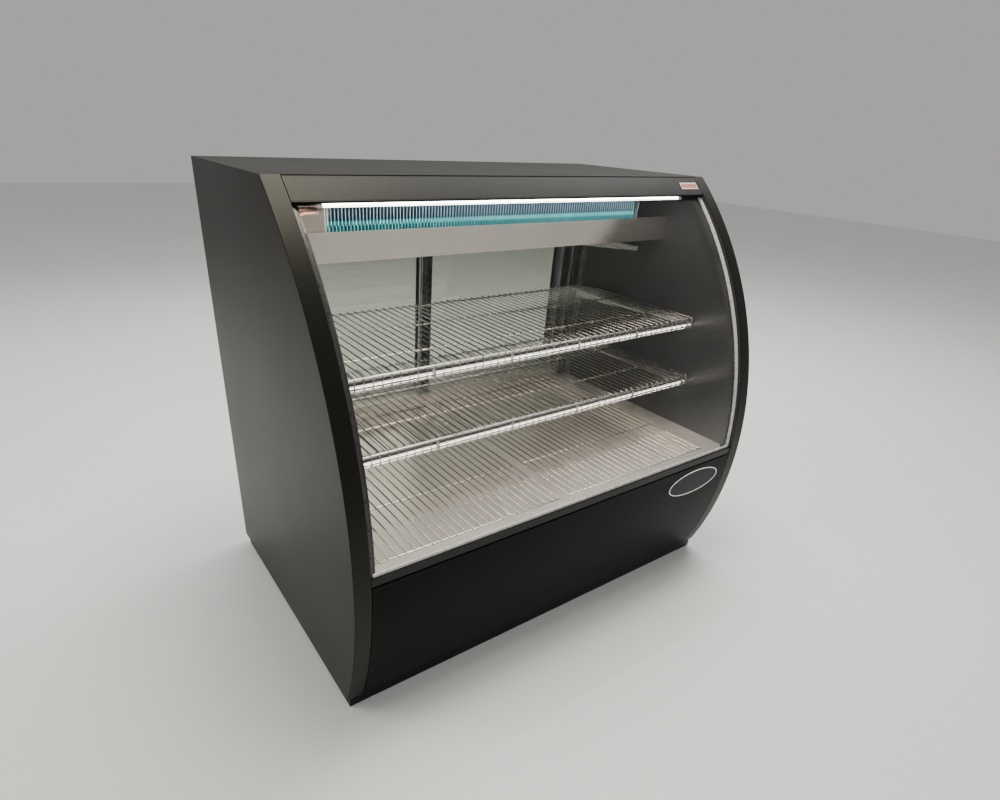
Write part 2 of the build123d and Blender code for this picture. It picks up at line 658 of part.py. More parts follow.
def make_shelf(front, top, rod_ys):
    """Wire shelf: wires run front to back over cross rods and turn down at the front."""
    wire_z = top - WIRE_R
    with BuildPart() as wire:
        with BuildLine() as bent:
            FilletPolyline(
                (0, SHELF_BACK, 0), (0, front + WIRE_R, 0), (0, front + WIRE_R, -SHELF_DROP), radius=7
            )
        with BuildSketch(Plane(bent.line @ 0, z_dir=bent.line % 0)) as section:
            Circle(WIRE_R)
        sweep(section.sketch, path=bent.line)
    with BuildPart() as shelf:
        with Locations(*[Location((0, y, wire_z - WIRE_R - ROD_R + WELD), (0, 90, 0)) for y in rod_ys]):
            Cylinder(ROD_R, 2 * SHELF_X)
        lip = [(front + 5, wire_z - WIRE_R - ROD_R + WELD), (front + 5, top - SHELF_DROP)]
        with Locations(*[Location((0, y, z), (0, 90, 0)) for y, z in lip]):
            Cylinder(ROD_R, 2 * SHELF_X)
        with Locations((0, 0, wire_z)):
            with GridLocations(WIRE_PITCH, 1, WIRE_COUNT, 1):
                add(wire.part)
    return shelf


upper_wire_shelf = make_shelf(UPPER_SHELF_FRONT, UPPER_SHELF_Z, ROD_YS_UPPER)
upper_wire_shelf.part.label = "upper_wire_shelf"
lower_wire_shelf = make_shelf(LOWER_SHELF_FRONT, LOWER_SHELF_Z, ROD_YS_LOWER)
lower_wire_shelf.part.label = "lower_wire_shelf"


def make_shelf_light(front, top):
    """LED bar behind the turned-down wires, with its clips."""
    with BuildPart() as light:
        block(-SHELF_X + 6, SHELF_X - 6, front + 9, front + 17, top - 30, top - 16)
        for k in range(6):
            x = -618 + 255 * k
            block(min(x, SHELF_X - 20) - 6, min(x, SHELF_X - 20) + 6, front + 8.2, front + 9, top - 31,
                  top - 15)
    return light


upper_shelf_light = make_shelf_light(UPPER_SHELF_FRONT, UPPER_SHELF_Z)
upper_shelf_light.part.label = "upper_shelf_light"
lower_shelf_light = make_shelf_light(LOWER_SHELF_FRONT, LOWER_SHELF_Z)
lower_shelf_light.part.label = "lower_shelf_light"

# Deck racks: same wires, on legs that stand in the well
RACK_GAP = 36
RACK_WIRES = 25
RACK_FRONT = WELL_FRONT + 2
RACK_BACK = WELL_BACK - 4
RACK_ROD_YS = (RACK_FRONT + 8, -192, 90, RACK_BACK - 8)


def make_rack(x0):
    """Loose floor rack with six legs."""
    middle = x0 + RACK_W / 2
    rod_z = TANK_TOP - 2 * WIRE_R - ROD_R + WELD
    with BuildPart() as rack:
        with Locations(*[Location((middle, y, rod_z), (0, 90, 0)) for y in RACK_ROD_YS]):
            Cylinder(ROD_R, RACK_W)
        with Locations((middle, (RACK_FRONT + RACK_BACK) / 2, TANK_TOP - WIRE_R)):
            with GridLocations(WIRE_PITCH, 1, RACK_WIRES, 1):
                Cylinder(WIRE_R, RACK_BACK - RACK_FRONT, rotation=(90, 0, 0))
        legs = [
            (x, y, TANK_FLOOR + 0.1)
            for x in (x0 + 30, x0 + RACK_W - 30)
            for y in (RACK_ROD_YS[0], RACK_ROD_YS[2], RACK_ROD_YS[3])
        ]
        with Locations(*legs):
            Cylinder(ROD_R, rod_z - TANK_FLOOR, align=(Align.CENTER, Align.CENTER, Align.MIN))
    return rack


left_deck_rack = make_rack(WELL_LEFT + 6)
left_deck_rack.part.label = "left_deck_rack"
right_deck_rack = make_rack(WELL_LEFT + 6 + RACK_W + RACK_GAP)
right_deck_rack.part.label = "right_deck_rack"

# ---------------------------------------------------------------- refrigeration
COMPRESSOR_X = 300
COMPRESSOR_Y = 230
COMPRESSOR_R = 92
STUB_X = COMPRESSOR_X + 84
STUB_Y = COMPRESSOR_Y + 55
STUB_Z = DECK_Z + 60
with BuildPart() as compressor:
    with BuildSketch(Plane.XY.offset(DECK_Z + 20)):
        with Locations((COMPRESSOR_X, COMPRESSOR_Y)):
            Circle(COMPRESSOR_R)
    extrude(amount=195)
    fillet(compressor.edges().group_by(Axis.Z)[0], 26)
    fillet(compressor.edges().group_by(Axis.Z)[-1], 60)
    with BuildSketch(Plane.XY.offset(DECK_Z + 118)):
        with Locations((COMPRESSOR_X, COMPRESSOR_Y)):
            Circle(COMPRESSOR_R + 3)
    extrude(amount=8)
    with Locations(Location((STUB_X, STUB_Y, STUB_Z), (0, 90, 0))):
        Cylinder(7, 40, align=(Align.CENTER, Align.CENTER, Align.MAX))
    block(COMPRESSOR_X - 105, COMPRESSOR_X + 105, COMPRESSOR_Y - 75, COMPRESSOR_Y + 75, DECK_Z + 16,
          DECK_Z + 23)
    block(COMPRESSOR_X + 80, COMPRESSOR_X + 120, COMPRESSOR_Y - 60, COMPRESSOR_Y, DECK_Z + 60,
          DECK_Z + 112)
    with Locations((COMPRESSOR_X, COMPRESSOR_Y, DECK_Z)):
        with GridLocations(180, 120, 2, 2):
            Cylinder(9, 17, align=(Align.CENTER, Align.CENTER, Align.MIN))
compressor.part.label = "compressor"

COND_X0 = FAN_X - 170
COND_X1 = FAN_X + 170
COND_Y0 = 404
COND_Y1 = 448
COND_Z0 = 90
COND_Z1 = 340
with BuildPart() as condenser_coil:
    with BuildSketch(Plane.YZ.offset(COND_X0)):
        for z in range(5):
            for y in range(2):
                with Locations((COND_Y0 + 11 + 22 * y, COND_Z0 + 25 + 50 * z)):
                    Circle(4)
    extrude(amount=COND_X1 - COND_X0)
    cond_planes = [Plane.YZ.offset(COND_X0 + 8 * i) for i in range(43)]
    with BuildSketch(*cond_planes):
        with Locations(((COND_Y0 + COND_Y1) / 2, (COND_Z0 + COND_Z1) / 2)):
            Rectangle(COND_Y1 - COND_Y0, COND_Z1 - COND_Z0)
    extrude(amount=1)
condenser_coil.part.label = "condenser_coil"

# Sheet shroud with a round throat for the fan, standing on the deck
with BuildPart() as condenser_shroud:
    block(COND_X0 - 4, COND_X1 + 4, 382, COND_Y0 - 1, DECK_Z, COND_Z1 + 4)
    block(COND_X0 - 2, COND_X1 + 2, 384, COND_Y0, DECK_Z + 2, COND_Z1 + 2, mode=Mode.SUBTRACT)
    with BuildSketch(Plane.XZ.offset(-384)):
        with Locations((FAN_X, FAN_Z)):
            Circle(FAN_R + 8)
    extrude(amount=20)
    with BuildSketch(Plane.XZ.offset(-390)):
        with Locations((FAN_X, FAN_Z)):
            Circle(FAN_R + 6)
    extrude(amount=40, mode=Mode.SUBTRACT)
condenser_shroud.part.label = "condenser_shroud"

# Fan: hub on its shaft with five pitched blades
BLADE_COUNT = 5
with BuildPart() as fan_blade:
    with BuildSketch(Plane.XZ.offset(-368)):
        with Locations((FAN_X, FAN_Z)):
            Circle(26)
    extrude(amount=-14)
    with BuildSketch(Plane.XZ.offset(-340)):
        with Locations((FAN_X, FAN_Z)):
            Circle(4)
    extrude(amount=-30)
    with Locations(Location((FAN_X, 375, FAN_Z), (90, 0, 0))):
        with PolarLocations(70, BLADE_COUNT):
            Box(FAN_R - 26, 62, 1.6, rotation=(24, 0, 0))
fan_blade.part.label = "fan_blade"

# Motor on a folded stand
with BuildPart() as fan_motor:
    with BuildSketch(Plane.XZ.offset(-300)):
        with Locations((FAN_X, FAN_Z)):
            Circle(36)
    extrude(amount=-60)
    with BuildSketch(Plane.XZ.offset(-330)):
        with Locations((FAN_X, FAN_Z)):
            Circle(4.08)
    extrude(amount=-40, mode=Mode.SUBTRACT)
    block(FAN_X - 30, FAN_X + 30, 318, 321, DECK_Z, FAN_Z)
    block(FAN_X - 30, FAN_X + 30, 290, 321, DECK_Z, DECK_Z + 3)
fan_motor.part.label = "fan_motor"


def tube_run(points, bend, radius):
    """Sweep a round tube along straight runs with tangent bends, in the active part."""
    with BuildLine() as path:
        FilletPolyline(*points, radius=bend)
    with BuildSketch(Plane(path.line @ 0, z_dir=path.line % 0)) as section:
        Circle(radius)
    sweep(section.sketch, path=path.line)


# Foam-sleeved suction line in the right rear corner, coil to compressor
with BuildPart() as suction_line:
    tube_run(
        [
            (COIL_LENGTH / 2 + 20.2, back_col, low_row),
            (SUCTION_X, back_col, low_row),
            (SUCTION_X, SUCTION_Y, low_row),
            (SUCTION_X, SUCTION_Y, STUB_Z),
            (SUCTION_X, STUB_Y, STUB_Z),
            (STUB_X + 0.2, STUB_Y, STUB_Z),
        ],
        28,
        9,
    )
suction_line.part.label = "suction_line"

# Bare copper: discharge line to the condenser, and liquid line with its filter drier
with BuildPart() as refrigerant_lines:
    tube_run(
        [
            (COMPRESSOR_X, COMPRESSOR_Y, DECK_Z + 215.2),
            (COMPRESSOR_X, COMPRESSOR_Y, 355),
            (COMPRESSOR_X, COND_Y0 + 11, 355),
            (COND_X1 + 30, COND_Y0 + 11, 355),
            (COND_X1 + 30, COND_Y0 + 11, COND_Z1 - 25),
            (COND_X1 + 0.2, COND_Y0 + 11, COND_Z1 - 25),
        ],
        14,
        4,
    )
    tube_run(
        [
            (COND_X1 + 0.2, COND_Y0 + 33, COND_Z0 + 25),
            (190, COND_Y0 + 33, COND_Z0 + 25),
            (190, COND_Y0 + 33, 300),
            (430, COND_Y0 + 33, 300),
        ],
        18,
        4,
    )
    with Locations(Location((-30, COND_Y0 + 33, COND_Z0 + 25), (0, 90, 0))):
        Cylinder(14, 90)
refrigerant_lines.part.label = "refrigerant_lines"

with BuildPart() as electrical_box:
    block(440, 600, 390, 450, 120, 230)
    fillet(electrical_box.edges().filter_by(Axis.Y), 6)
electrical_box.part.label = "electrical_box"

# ---------------------------------------------------------------- rear panel and controls
CONTROL_X = 500
CONTROL_Z = 330
PLATE_Y = PANEL_Y + SHEET
GLAND_X = 600
GLAND_Z = 90

with BuildPart() as rear_access_panel:
    block(-INNER + SEAM, INNER - SEAM, PANEL_Y, PLATE_Y, PLINTH_H + 4, TANK_TOP - 1)
    with BuildSketch(Plane.XZ.offset(-PANEL_Y + 1)):
        for x in (FAN_X - 90, FAN_X + 90, 90, 270):
            with Locations((x, FAN_Z)):
                with GridLocations(1, 20, 1, 12):
                    SlotOverall(150, 7)
        with Locations((CONTROL_X, CONTROL_Z)):
            Rectangle(180, 50)
        with Locations((GLAND_X, GLAND_Z)):
            Circle(10)
        for x in SCREW_XS:
            for z in SCREW_ZS:
                with Locations((x, z)):
                    Circle(2.2)
    extrude(amount=-SHEET - 2, mode=Mode.SUBTRACT)
rear_access_panel.part.label = "rear_access_panel"

with BuildPart() as panel_screws:
    for x in SCREW_XS:
        for z in SCREW_ZS:
            with Locations(Location((x, PLATE_Y + 0.1, z), (-90, 0, 0))):
                Cylinder(5, 2.4, align=(Align.CENTER, Align.CENTER, Align.MIN))
                Cylinder(2, 12, align=(Align.CENTER, Align.CENTER, Align.MAX))
    fillet(panel_screws.edges().filter_by(GeomType.CIRCLE).group_by(Axis.Y)[-1], 1.2)
panel_screws.part.label = "panel_screws"

with BuildPart() as cord_gland:
    with BuildSketch(Plane.XZ.offset(-PANEL_Y + 12)):
        with Locations((GLAND_X, GLAND_Z)):
            Circle(9.8)
            Circle(5, mode=Mode.SUBTRACT)
    extrude(amount=-18)
    with BuildSketch(Plane.XZ.offset(-PLATE_Y - 0.1)):
        with Locations((GLAND_X, GLAND_Z)):
            RegularPolygon(14, 6)
            Circle(5, mode=Mode.SUBTRACT)
    extrude(amount=-4)
cord_gland.part.label = "cord_gland"

# Control panel: window for the display, two buttons and two rocker switches
BUTTON_XS = (CONTROL_X - 8, CONTROL_X + 8)
BUTTON_Z = CONTROL_Z - 10
BUTTON_R = 4
SWITCH_XS = (CONTROL_X + 42, CONTROL_X + 72)
ROCKER_Y = PLATE_Y - 7
ROCKER_TILT = 9
with BuildPart() as control_panel:
    block(CONTROL_X - 100, CONTROL_X + 100, PLATE_Y + 0.1, PLATE_Y + 3, CONTROL_Z - 34, CONTROL_Z + 34)
    fillet(control_panel.edges().filter_by(Axis.Y), 6)
    block(CONTROL_X - 80, CONTROL_X + 20, PLATE_Y - 40, PLATE_Y + 0.1, CONTROL_Z - 22, CONTROL_Z + 22)
    block(CONTROL_X - 76, CONTROL_X - 20, PLATE_Y + 1.6, PLATE_Y + 3, CONTROL_Z - 14, CONTROL_Z + 14,
          mode=Mode.SUBTRACT)
    with BuildSketch(Plane.XZ.offset(-PLATE_Y + 12)):
        for x in BUTTON_XS:
            with Locations((x, BUTTON_Z)):
                Circle(BUTTON_R + 0.3)
    extrude(amount=-20, mode=Mode.SUBTRACT)
    for x in SWITCH_XS:
        block(x - 7.3, x + 7.3, PLATE_Y - 5, PLATE_Y + 4, CONTROL_Z - 11.2, CONTROL_Z + 11.2,
              mode=Mode.SUBTRACT)
control_panel.part.label = "control_panel"


def make_rocker(x):
    """Rocker cap with a shallow V face, at rest with its upper end pressed in."""
    rest = Plane(
        origin=(x - 7, ROCKER_Y, CONTROL_Z),
        x_dir=(0, cos(radians(ROCKER_TILT)), sin(radians(ROCKER_TILT))),
        z_dir=(1, 0, 0),
    )
    with BuildPart() as rocker:
        with BuildSketch(rest) as section:
            with BuildLine():
                Polyline((10.5, -9), (8.5, 0), (10.5, 9), (0, 7), (-3, 0), (0, -7), close=True)
            make_face()
        extrude(section.sketch, amount=14)
    return rocker


power_switch = make_rocker(SWITCH_XS[0])
power_switch.part.label = "power_switch"
light_switch = make_rocker(SWITCH_XS[1])
light_switch.part.label = "light_switch"


def make_button(x):
    """Round push button with a softened face."""
    with BuildPart() as button:
        with Locations(Location((x, PLATE_Y - 4, BUTTON_Z), (-90, 0, 0))):
            Cylinder(BUTTON_R, 9, align=(Align.CENTER, Align.CENTER, Align.MIN))
        fillet(button.faces().sort_by(Axis.Y)[-1].edges(), 0.8)
    return button


button_up = make_button(BUTTON_XS[1])
button_up.part.label = "button_up"
button_down = make_button(BUTTON_XS[0])
button_down.part.label = "button_down"

# ---------------------------------------------------------------- write every piece
PIECES = (
    base_frame, toe_kick, levelling_feet,
    left_end_skin, right_end_skin, panel_foam_cores, end_panel_liners, glass_hinge_bushes,
    top_panel, ceiling_liner, header_fascia, lower_front_panel, badge_plate,
    front_glass, glass_edge_trim, glass_hinge_rail, glass_hinge_pins, glass_gaskets,
    tank_liner, tank_insulation, drain_fitting, condensate_pan,
    header_light_housing, header_light_lens,
    evaporator_fins, evaporator_end_plates, evaporator_tubes, drip_pan,
    rear_jambs, jamb_seals, rear_sill, rear_head,
    left_door_frame, left_door_glass, right_door_frame, right_door_glass,
    pilasters, shelf_brackets,
    upper_wire_shelf, lower_wire_shelf, upper_shelf_light, lower_shelf_light,
    left_deck_rack, right_deck_rack,
    compressor, condenser_coil, condenser_shroud, fan_blade, fan_motor,
    suction_line, refrigerant_lines, electrical_box,
    rear_access_panel, panel_screws, cord_gland, control_panel,
    power_switch, light_switch, button_up, button_down,
)
for piece in PIECES:
    export_step(piece.part, f"parts/{piece.part.label}.step")
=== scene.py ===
from math import cos, pi, radians, sin, sqrt

import bmesh
import bpy
from mathutils import Matrix, Vector


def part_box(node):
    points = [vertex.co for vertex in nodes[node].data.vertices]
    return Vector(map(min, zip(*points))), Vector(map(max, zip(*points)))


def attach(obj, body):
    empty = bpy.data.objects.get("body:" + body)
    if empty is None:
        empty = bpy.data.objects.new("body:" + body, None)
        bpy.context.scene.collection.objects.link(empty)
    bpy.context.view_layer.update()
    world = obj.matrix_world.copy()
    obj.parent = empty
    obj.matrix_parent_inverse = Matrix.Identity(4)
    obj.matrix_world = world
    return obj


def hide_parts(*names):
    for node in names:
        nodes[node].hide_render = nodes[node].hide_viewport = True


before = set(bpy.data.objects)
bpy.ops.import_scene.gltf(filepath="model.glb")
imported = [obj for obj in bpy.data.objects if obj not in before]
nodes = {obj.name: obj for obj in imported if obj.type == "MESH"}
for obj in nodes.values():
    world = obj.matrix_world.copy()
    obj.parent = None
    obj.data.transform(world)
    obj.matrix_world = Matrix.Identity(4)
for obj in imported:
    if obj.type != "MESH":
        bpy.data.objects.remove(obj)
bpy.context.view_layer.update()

# Refrigerated deli case. Metres, in the CAD's frame: +Z up, -Y to the customer, origin on the floor.
MM = 0.001

# Bowed front: every curved skin shares this centre line, which runs along X
BOW_R = 1140 * MM
BOW_Y = 668 * MM
BOW_Z = 434 * MM
GLASS_OUTER = 1128 * MM
GLASS_INNER = 1122 * MM
GLASS_X = 676 * MM
GLASS_STEPS = 96

# Edge trim of the front glass: its outer face, its web beside the glass and its inner edge
TRIM_X = 678 * MM
TRIM_WEB_X = 676.1 * MM
TRIM_INNER_X = 670 * MM
TRIM_FOOT = 474.1 * MM
TRIM_SHEET = 1.6 * MM
TRIM_GAP = 0.1 * MM
SILL_TRIM_HEIGHT = 9.9 * MM

# Wire goods
WIRE_R = 1.8 * MM
ROD_R = 3 * MM
WELD = 0.6 * MM
WIRE_PITCH = 25 * MM
SHELF_WIRES = 54
RACK_WIRES = 25
FRONT_BEND = 7 * MM
FRONT_BEND_STEPS = 6
FRONT_DROP = 36 * MM
ROD_SIDES = 16

# LED bars of the shelves
LED_WALL = 1.2 * MM
LED_CAP = 3 * MM
LED_CLIPS = 6
LED_CLIP_PITCH = 255 * MM
LED_CLIP_HALF = 5 * MM

# Oval badge on the lower front panel
BADGE_X = 508 * MM
BADGE_Z = 392 * MM
BADGE_STEPS = 96
BADGE_RINGS = 10

# Coil: fins in a lower and an upper bank, each with its front face, foot and head
FIN_PITCH = 9.5 * MM
FIN_BANKS = ((4 * MM, 1112 * MM, 1162 * MM), (12 * MM, 1162 * MM, 1214 * MM))

# Rear doors: levels of the strips on the meeting stile, and width of the frame rails
STILE_FOOT = 496 * MM
STILE_HEAD = 1090 * MM
DOOR_RAIL = 40 * MM
BEAD = 3 * MM

# Pan-head screws
SCREW_R = 4 * MM
SCREW_HEIGHT = 1.7 * MM
SCREW_SIDES = 18


# ---------------------------------------------------------------- shader helpers
def new_material(name, **values):
    """A material whose Principled shader has these plain values."""
    material = bpy.data.materials.new(name)
    material.use_nodes = True
    shader = material.node_tree.nodes["Principled BSDF"]
    for socket, value in values.items():
        shader.inputs[socket.replace("_", " ")].default_value = value
    return material, material.node_tree, shader


def coordinates(tree, scale=(1, 1, 1)):
    """Object coordinates in metres, stretched by scale."""
    source = tree.nodes.new("ShaderNodeTexCoord")
    mapping = tree.nodes.new("ShaderNodeMapping")
    mapping.inputs["Scale"].default_value = scale
    tree.links.new(source.outputs["Object"], mapping.inputs["Vector"])
    return mapping.outputs["Vector"]


def noise(tree, scale, detail=3.0, stretch=(1, 1, 1), roughness=0.5):
    """Noise with scale features to the metre."""
    texture = tree.nodes.new("ShaderNodeTexNoise")
    texture.inputs["Scale"].default_value = scale
    texture.inputs["Detail"].default_value = detail
    texture.inputs["Roughness"].default_value = roughness
    tree.links.new(coordinates(tree, stretch), texture.inputs["Vector"])
    return texture.outputs["Fac"]


def remap(tree, value, low, high, start=0.3, end=0.7):
    """Spreads a 0 to 1 value over low to high."""
    node = tree.nodes.new("ShaderNodeMapRange")
    node.inputs["From Min"].default_value = start
    node.inputs["From Max"].default_value = end
    node.inputs["To Min"].default_value = low
    node.inputs["To Max"].default_value = high
    tree.links.new(value, node.inputs["Value"])
    return node.outputs["Result"]


def ramp(tree, value, *stops):
    """Colour ramp: stops are (position, colour)."""
    node = tree.nodes.new("ShaderNodeValToRGB")
    elements = node.color_ramp.elements
    while len(elements) < len(stops):
        elements.new(0.5)
    for element, (position, colour) in zip(elements, stops):
        element.position = position
        element.color = (*colour, 1)
    tree.links.new(value, node.inputs["Fac"])
    return node.outputs["Color"]


def bump(tree, shader, height, distance, strength=1.0):
    """Feeds a height to the shader's normal, on top of any bump already there."""
    node = tree.nodes.new("ShaderNodeBump")
    node.inputs["Strength"].default_value = strength
    node.inputs["Distance"].default_value = distance
    tree.links.new(height, node.inputs["Height"])
    previous = shader.inputs["Normal"].links
    if previous:
        tree.links.new(previous[0].from_socket, node.inputs["Normal"])
    tree.links.new(node.outputs["Normal"], shader.inputs["Normal"])


def shade(tree, shader, colour=None, roughness=None):
    """Links colour and roughness outputs to the shader."""
    if colour is not None:
        tree.links.new(colour, shader.inputs["Base Color"])
    if roughness is not None:
        tree.links.new(roughness, shader.inputs["Roughness"])


def scaled(colour, factor):
    """The colour made lighter or darker by a factor."""
    return tuple(min(1.0, c * factor) for c in colour)


def varied(tree, shader, colour, spread, scale, stretch=(1, 1, 1), detail=4.0):
    """Base colour that drifts a little either side of colour."""
    drift = noise(tree, scale, detail, stretch)
    dark = scaled(colour, 1 - spread)
    light = scaled(colour, 1 + spread)
    shade(tree, shader, ramp(tree, drift, (0.3, dark), (0.7, light)))


def multiplied(tree, first, second):
    """Product of two colours."""
    mix = tree.nodes.new("ShaderNodeMix")
    mix.data_type = "RGBA"
    mix.blend_type = "MULTIPLY"
    mix.inputs["Factor"].default_value = 1.0
    tree.links.new(first, mix.inputs["A"])
    tree.links.new(second, mix.inputs["B"])
    return mix.outputs["Result"]


# ---------------------------------------------------------------- materials
def powder_coat(name, colour, gloss):
    """Black polyester powder coat: orange peel over sheet steel."""
    # The warm specular tint is a painted sheen: it warms every reflection on the paint, standing for warm
    # room light.
    material, tree, shader = new_material(
        name, Specular_IOR_Level=gloss, Specular_Tint=(1.0, 0.97, 0.86, 1)
    )
    varied(tree, shader, colour, 0.25, 2.0)
    shade(tree, shader, roughness=remap(tree, noise(tree, 2.5, 3.0), 0.37, 0.41))
    bump(tree, shader, noise(tree, 330.0, 2.0), 0.0006, 0.55)
    bump(tree, shader, noise(tree, 1100.0, 2.0), 0.0002, 0.5)
    return material


def black_sheet():
    """Smooth satin black paint on the glass rail and the door head."""
    material, tree, shader = new_material("black_sheet", Specular_IOR_Level=0.2)
    varied(tree, shader, (0.006, 0.006, 0.0065), 0.25, 8.0)
    shade(tree, shader, roughness=remap(tree, noise(tree, 14.0, 4.0), 0.26, 0.36))
    bump(tree, shader, noise(tree, 900.0, 2.0), 0.0002, 0.3)
    return material


def dark_liner():
    """Charcoal coated sheet of the inner walls."""
    material, tree, shader = new_material("dark_liner")
    varied(tree, shader, (0.021, 0.0215, 0.022), 0.12, 3.0, detail=2.0)
    shade(tree, shader, roughness=remap(tree, noise(tree, 40.0, 2.0), 0.3, 0.36))
    bump(tree, shader, noise(tree, 260.0, 2.0), 0.00003, 0.2)
    return material


def brushed(name, colour, low, high, along, streaks=0.1, metallic=1.0):
    """Stainless sheet with its grain along X, Y or Z; a lower metallic is a duller, scrubbed finish."""
    stretch = {"X": (2, 260, 260), "Y": (260, 2, 260), "Z": (260, 260, 2)}[along]
    material, tree, shader = new_material(name, Metallic=metallic, Anisotropic=0.3)
    grain = noise(tree, 4.0, 6.0, stretch, 0.65)
    cloud = noise(tree, 4.0, 4.0)
    light = ramp(tree, grain, (0.25, scaled(colour, 1 - streaks)), (0.75, scaled(colour, 1 + streaks)))
    drift = ramp(tree, cloud, (0.3, (0.93, 0.93, 0.93)), (0.7, (1.0, 1.0, 1.0)))
    shade(tree, shader, multiplied(tree, light, drift), remap(tree, grain, low, high))
    bump(tree, shader, grain, 0.00003, 0.4)
    return material


def aluminium():
    """Satin anodised extrusions."""
    material, tree, shader = new_material("aluminium", Metallic=1.0)
    grain = noise(tree, 4.0, 5.0, (200, 200, 3), 0.6)
    shade(
        tree, shader,
        ramp(tree, grain, (0.25, (0.62, 0.63, 0.64)), (0.75, (0.76, 0.77, 0.78))),
        remap(tree, grain, 0.24, 0.36),
    )
    bump(tree, shader, grain, 0.00005, 0.4)
    return material


def bright_trim(name):
    """Polished aluminium edging."""
    material, tree, shader = new_material(name, Metallic=0.35)
    varied(tree, shader, (0.93, 0.93, 0.91), 0.03, 40.0)
    shade(tree, shader, roughness=remap(tree, noise(tree, 90.0, 3.0), 0.24, 0.34))
    bump(tree, shader, noise(tree, 600.0, 2.0), 0.00004, 0.4)
    return material


def galvanised():
    """Zinc-coated steel with its spangle."""
    material, tree, shader = new_material("galvanised", Metallic=1.0)
    cells = tree.nodes.new("ShaderNodeTexVoronoi")
    cells.inputs["Scale"].default_value = 75.0
    tree.links.new(coordinates(tree), cells.inputs["Vector"])
    tone = tree.nodes.new("ShaderNodeSeparateColor")
    tree.links.new(cells.outputs["Color"], tone.inputs["Color"])
    spangle = tone.outputs["Red"]
    shade(
        tree, shader,
        ramp(tree, spangle, (0.0, (0.42, 0.44, 0.45)), (1.0, (0.6, 0.62, 0.63))),
        remap(tree, spangle, 0.3, 0.5, 0.0, 1.0),
    )
    bump(tree, shader, noise(tree, 260.0, 3.0), 0.00012, 0.4)
    return material


def chrome_wire(name, colour):
    """Bright plated wire with a slight haze."""
    material, tree, shader = new_material(name, Metallic=1.0)
    varied(tree, shader, colour, 0.06, 60.0)
    shade(tree, shader, roughness=remap(tree, noise(tree, 120.0, 3.0), 0.17, 0.26))
    bump(tree, shader, noise(tree, 900.0, 2.0), 0.00005, 0.4)
    return material


def zinc():
    """Plated fasteners."""
    material, tree, shader = new_material("zinc", Metallic=1.0)
    varied(tree, shader, (0.6, 0.6, 0.57), 0.15, 180.0)
    shade(tree, shader, roughness=remap(tree, noise(tree, 220.0, 3.0), 0.25, 0.42))
    bump(tree, shader, noise(tree, 1500.0, 2.0), 0.00005, 0.4)
    return material


def copper():
    """Bare copper with darker, oxidised patches."""
    material, tree, shader = new_material("copper", Metallic=1.0)
    patches = noise(tree, 45.0, 6.0)
    shade(
        tree, shader,
        ramp(tree, patches, (0.35, (0.8, 0.24, 0.12)), (0.6, (1.0, 0.48, 0.28))),
        remap(tree, patches, 0.45, 0.22),
    )
    bump(tree, shader, noise(tree, 400.0, 3.0), 0.0001, 0.4)
    return material


def fin_coating_with_painted_light(name, metallic, *stops):
    """Coating on the coil whose colour changes with height, as the lamp above catches it."""
    material, tree, shader = new_material(name, Metallic=metallic)
    low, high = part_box("evaporator_fins")
    source = tree.nodes.new("ShaderNodeTexCoord")
    split = tree.nodes.new("ShaderNodeSeparateXYZ")
    tree.links.new(source.outputs["Object"], split.inputs["Vector"])
    height = remap(tree, split.outputs["Z"], 0.0, 1.0, low.z, high.z)
    cloud = ramp(tree, noise(tree, 30.0, 4.0), (0.3, (0.8, 0.8, 0.8)), (0.7, (1.0, 1.0, 1.0)))
    colour = multiplied(tree, ramp(tree, height, *stops), cloud)
    shade(tree, shader, colour, remap(tree, noise(tree, 90.0, 3.0), 0.3, 0.45))
    bump(tree, shader, noise(tree, 500.0, 2.0), 0.0001, 0.4)
    return material


def plastic(name, colour, low, high, grain=900.0, depth=0.0001, gloss=0.35):
    """Moulded plastic with a fine spark-eroded grain."""
    material, tree, shader = new_material(name, Specular_IOR_Level=gloss)
    varied(tree, shader, colour, 0.1, 30.0)
    shade(tree, shader, roughness=remap(tree, noise(tree, 60.0, 3.0), low, high))
    bump(tree, shader, noise(tree, grain, 2.0), depth, 0.5)
    return material


def rubber():
    """Extruded gasket rubber, dull and slightly dusty."""
    material, tree, shader = new_material("rubber")
    varied(tree, shader, (0.012, 0.012, 0.012), 0.35, 25.0)
    shade(tree, shader, roughness=remap(tree, noise(tree, 70.0, 4.0), 0.5, 0.7))
    bump(tree, shader, noise(tree, 800.0, 2.0), 0.0002, 0.4)
    return material


def foam():
    """Cut polyurethane foam with open cells."""
    material, tree, shader = new_material("foam")
    varied(tree, shader, (0.72, 0.6, 0.34), 0.12, 12.0)
    shade(tree, shader, roughness=remap(tree, noise(tree, 90.0, 4.0), 0.8, 0.95))
    bump(tree, shader, noise(tree, 700.0, 4.0), 0.0008, 0.8)
    return material


def light_diffuser(name, colour, strength):
    """Milky plastic with lamps behind it."""
    material, tree, shader = new_material(name, Emission_Strength=strength, Emission_Color=(*colour, 1))
    varied(tree, shader, (0.9, 0.91, 0.92), 0.04, 20.0)
    shade(tree, shader, roughness=remap(tree, noise(tree, 80.0, 3.0), 0.35, 0.5))
    return material


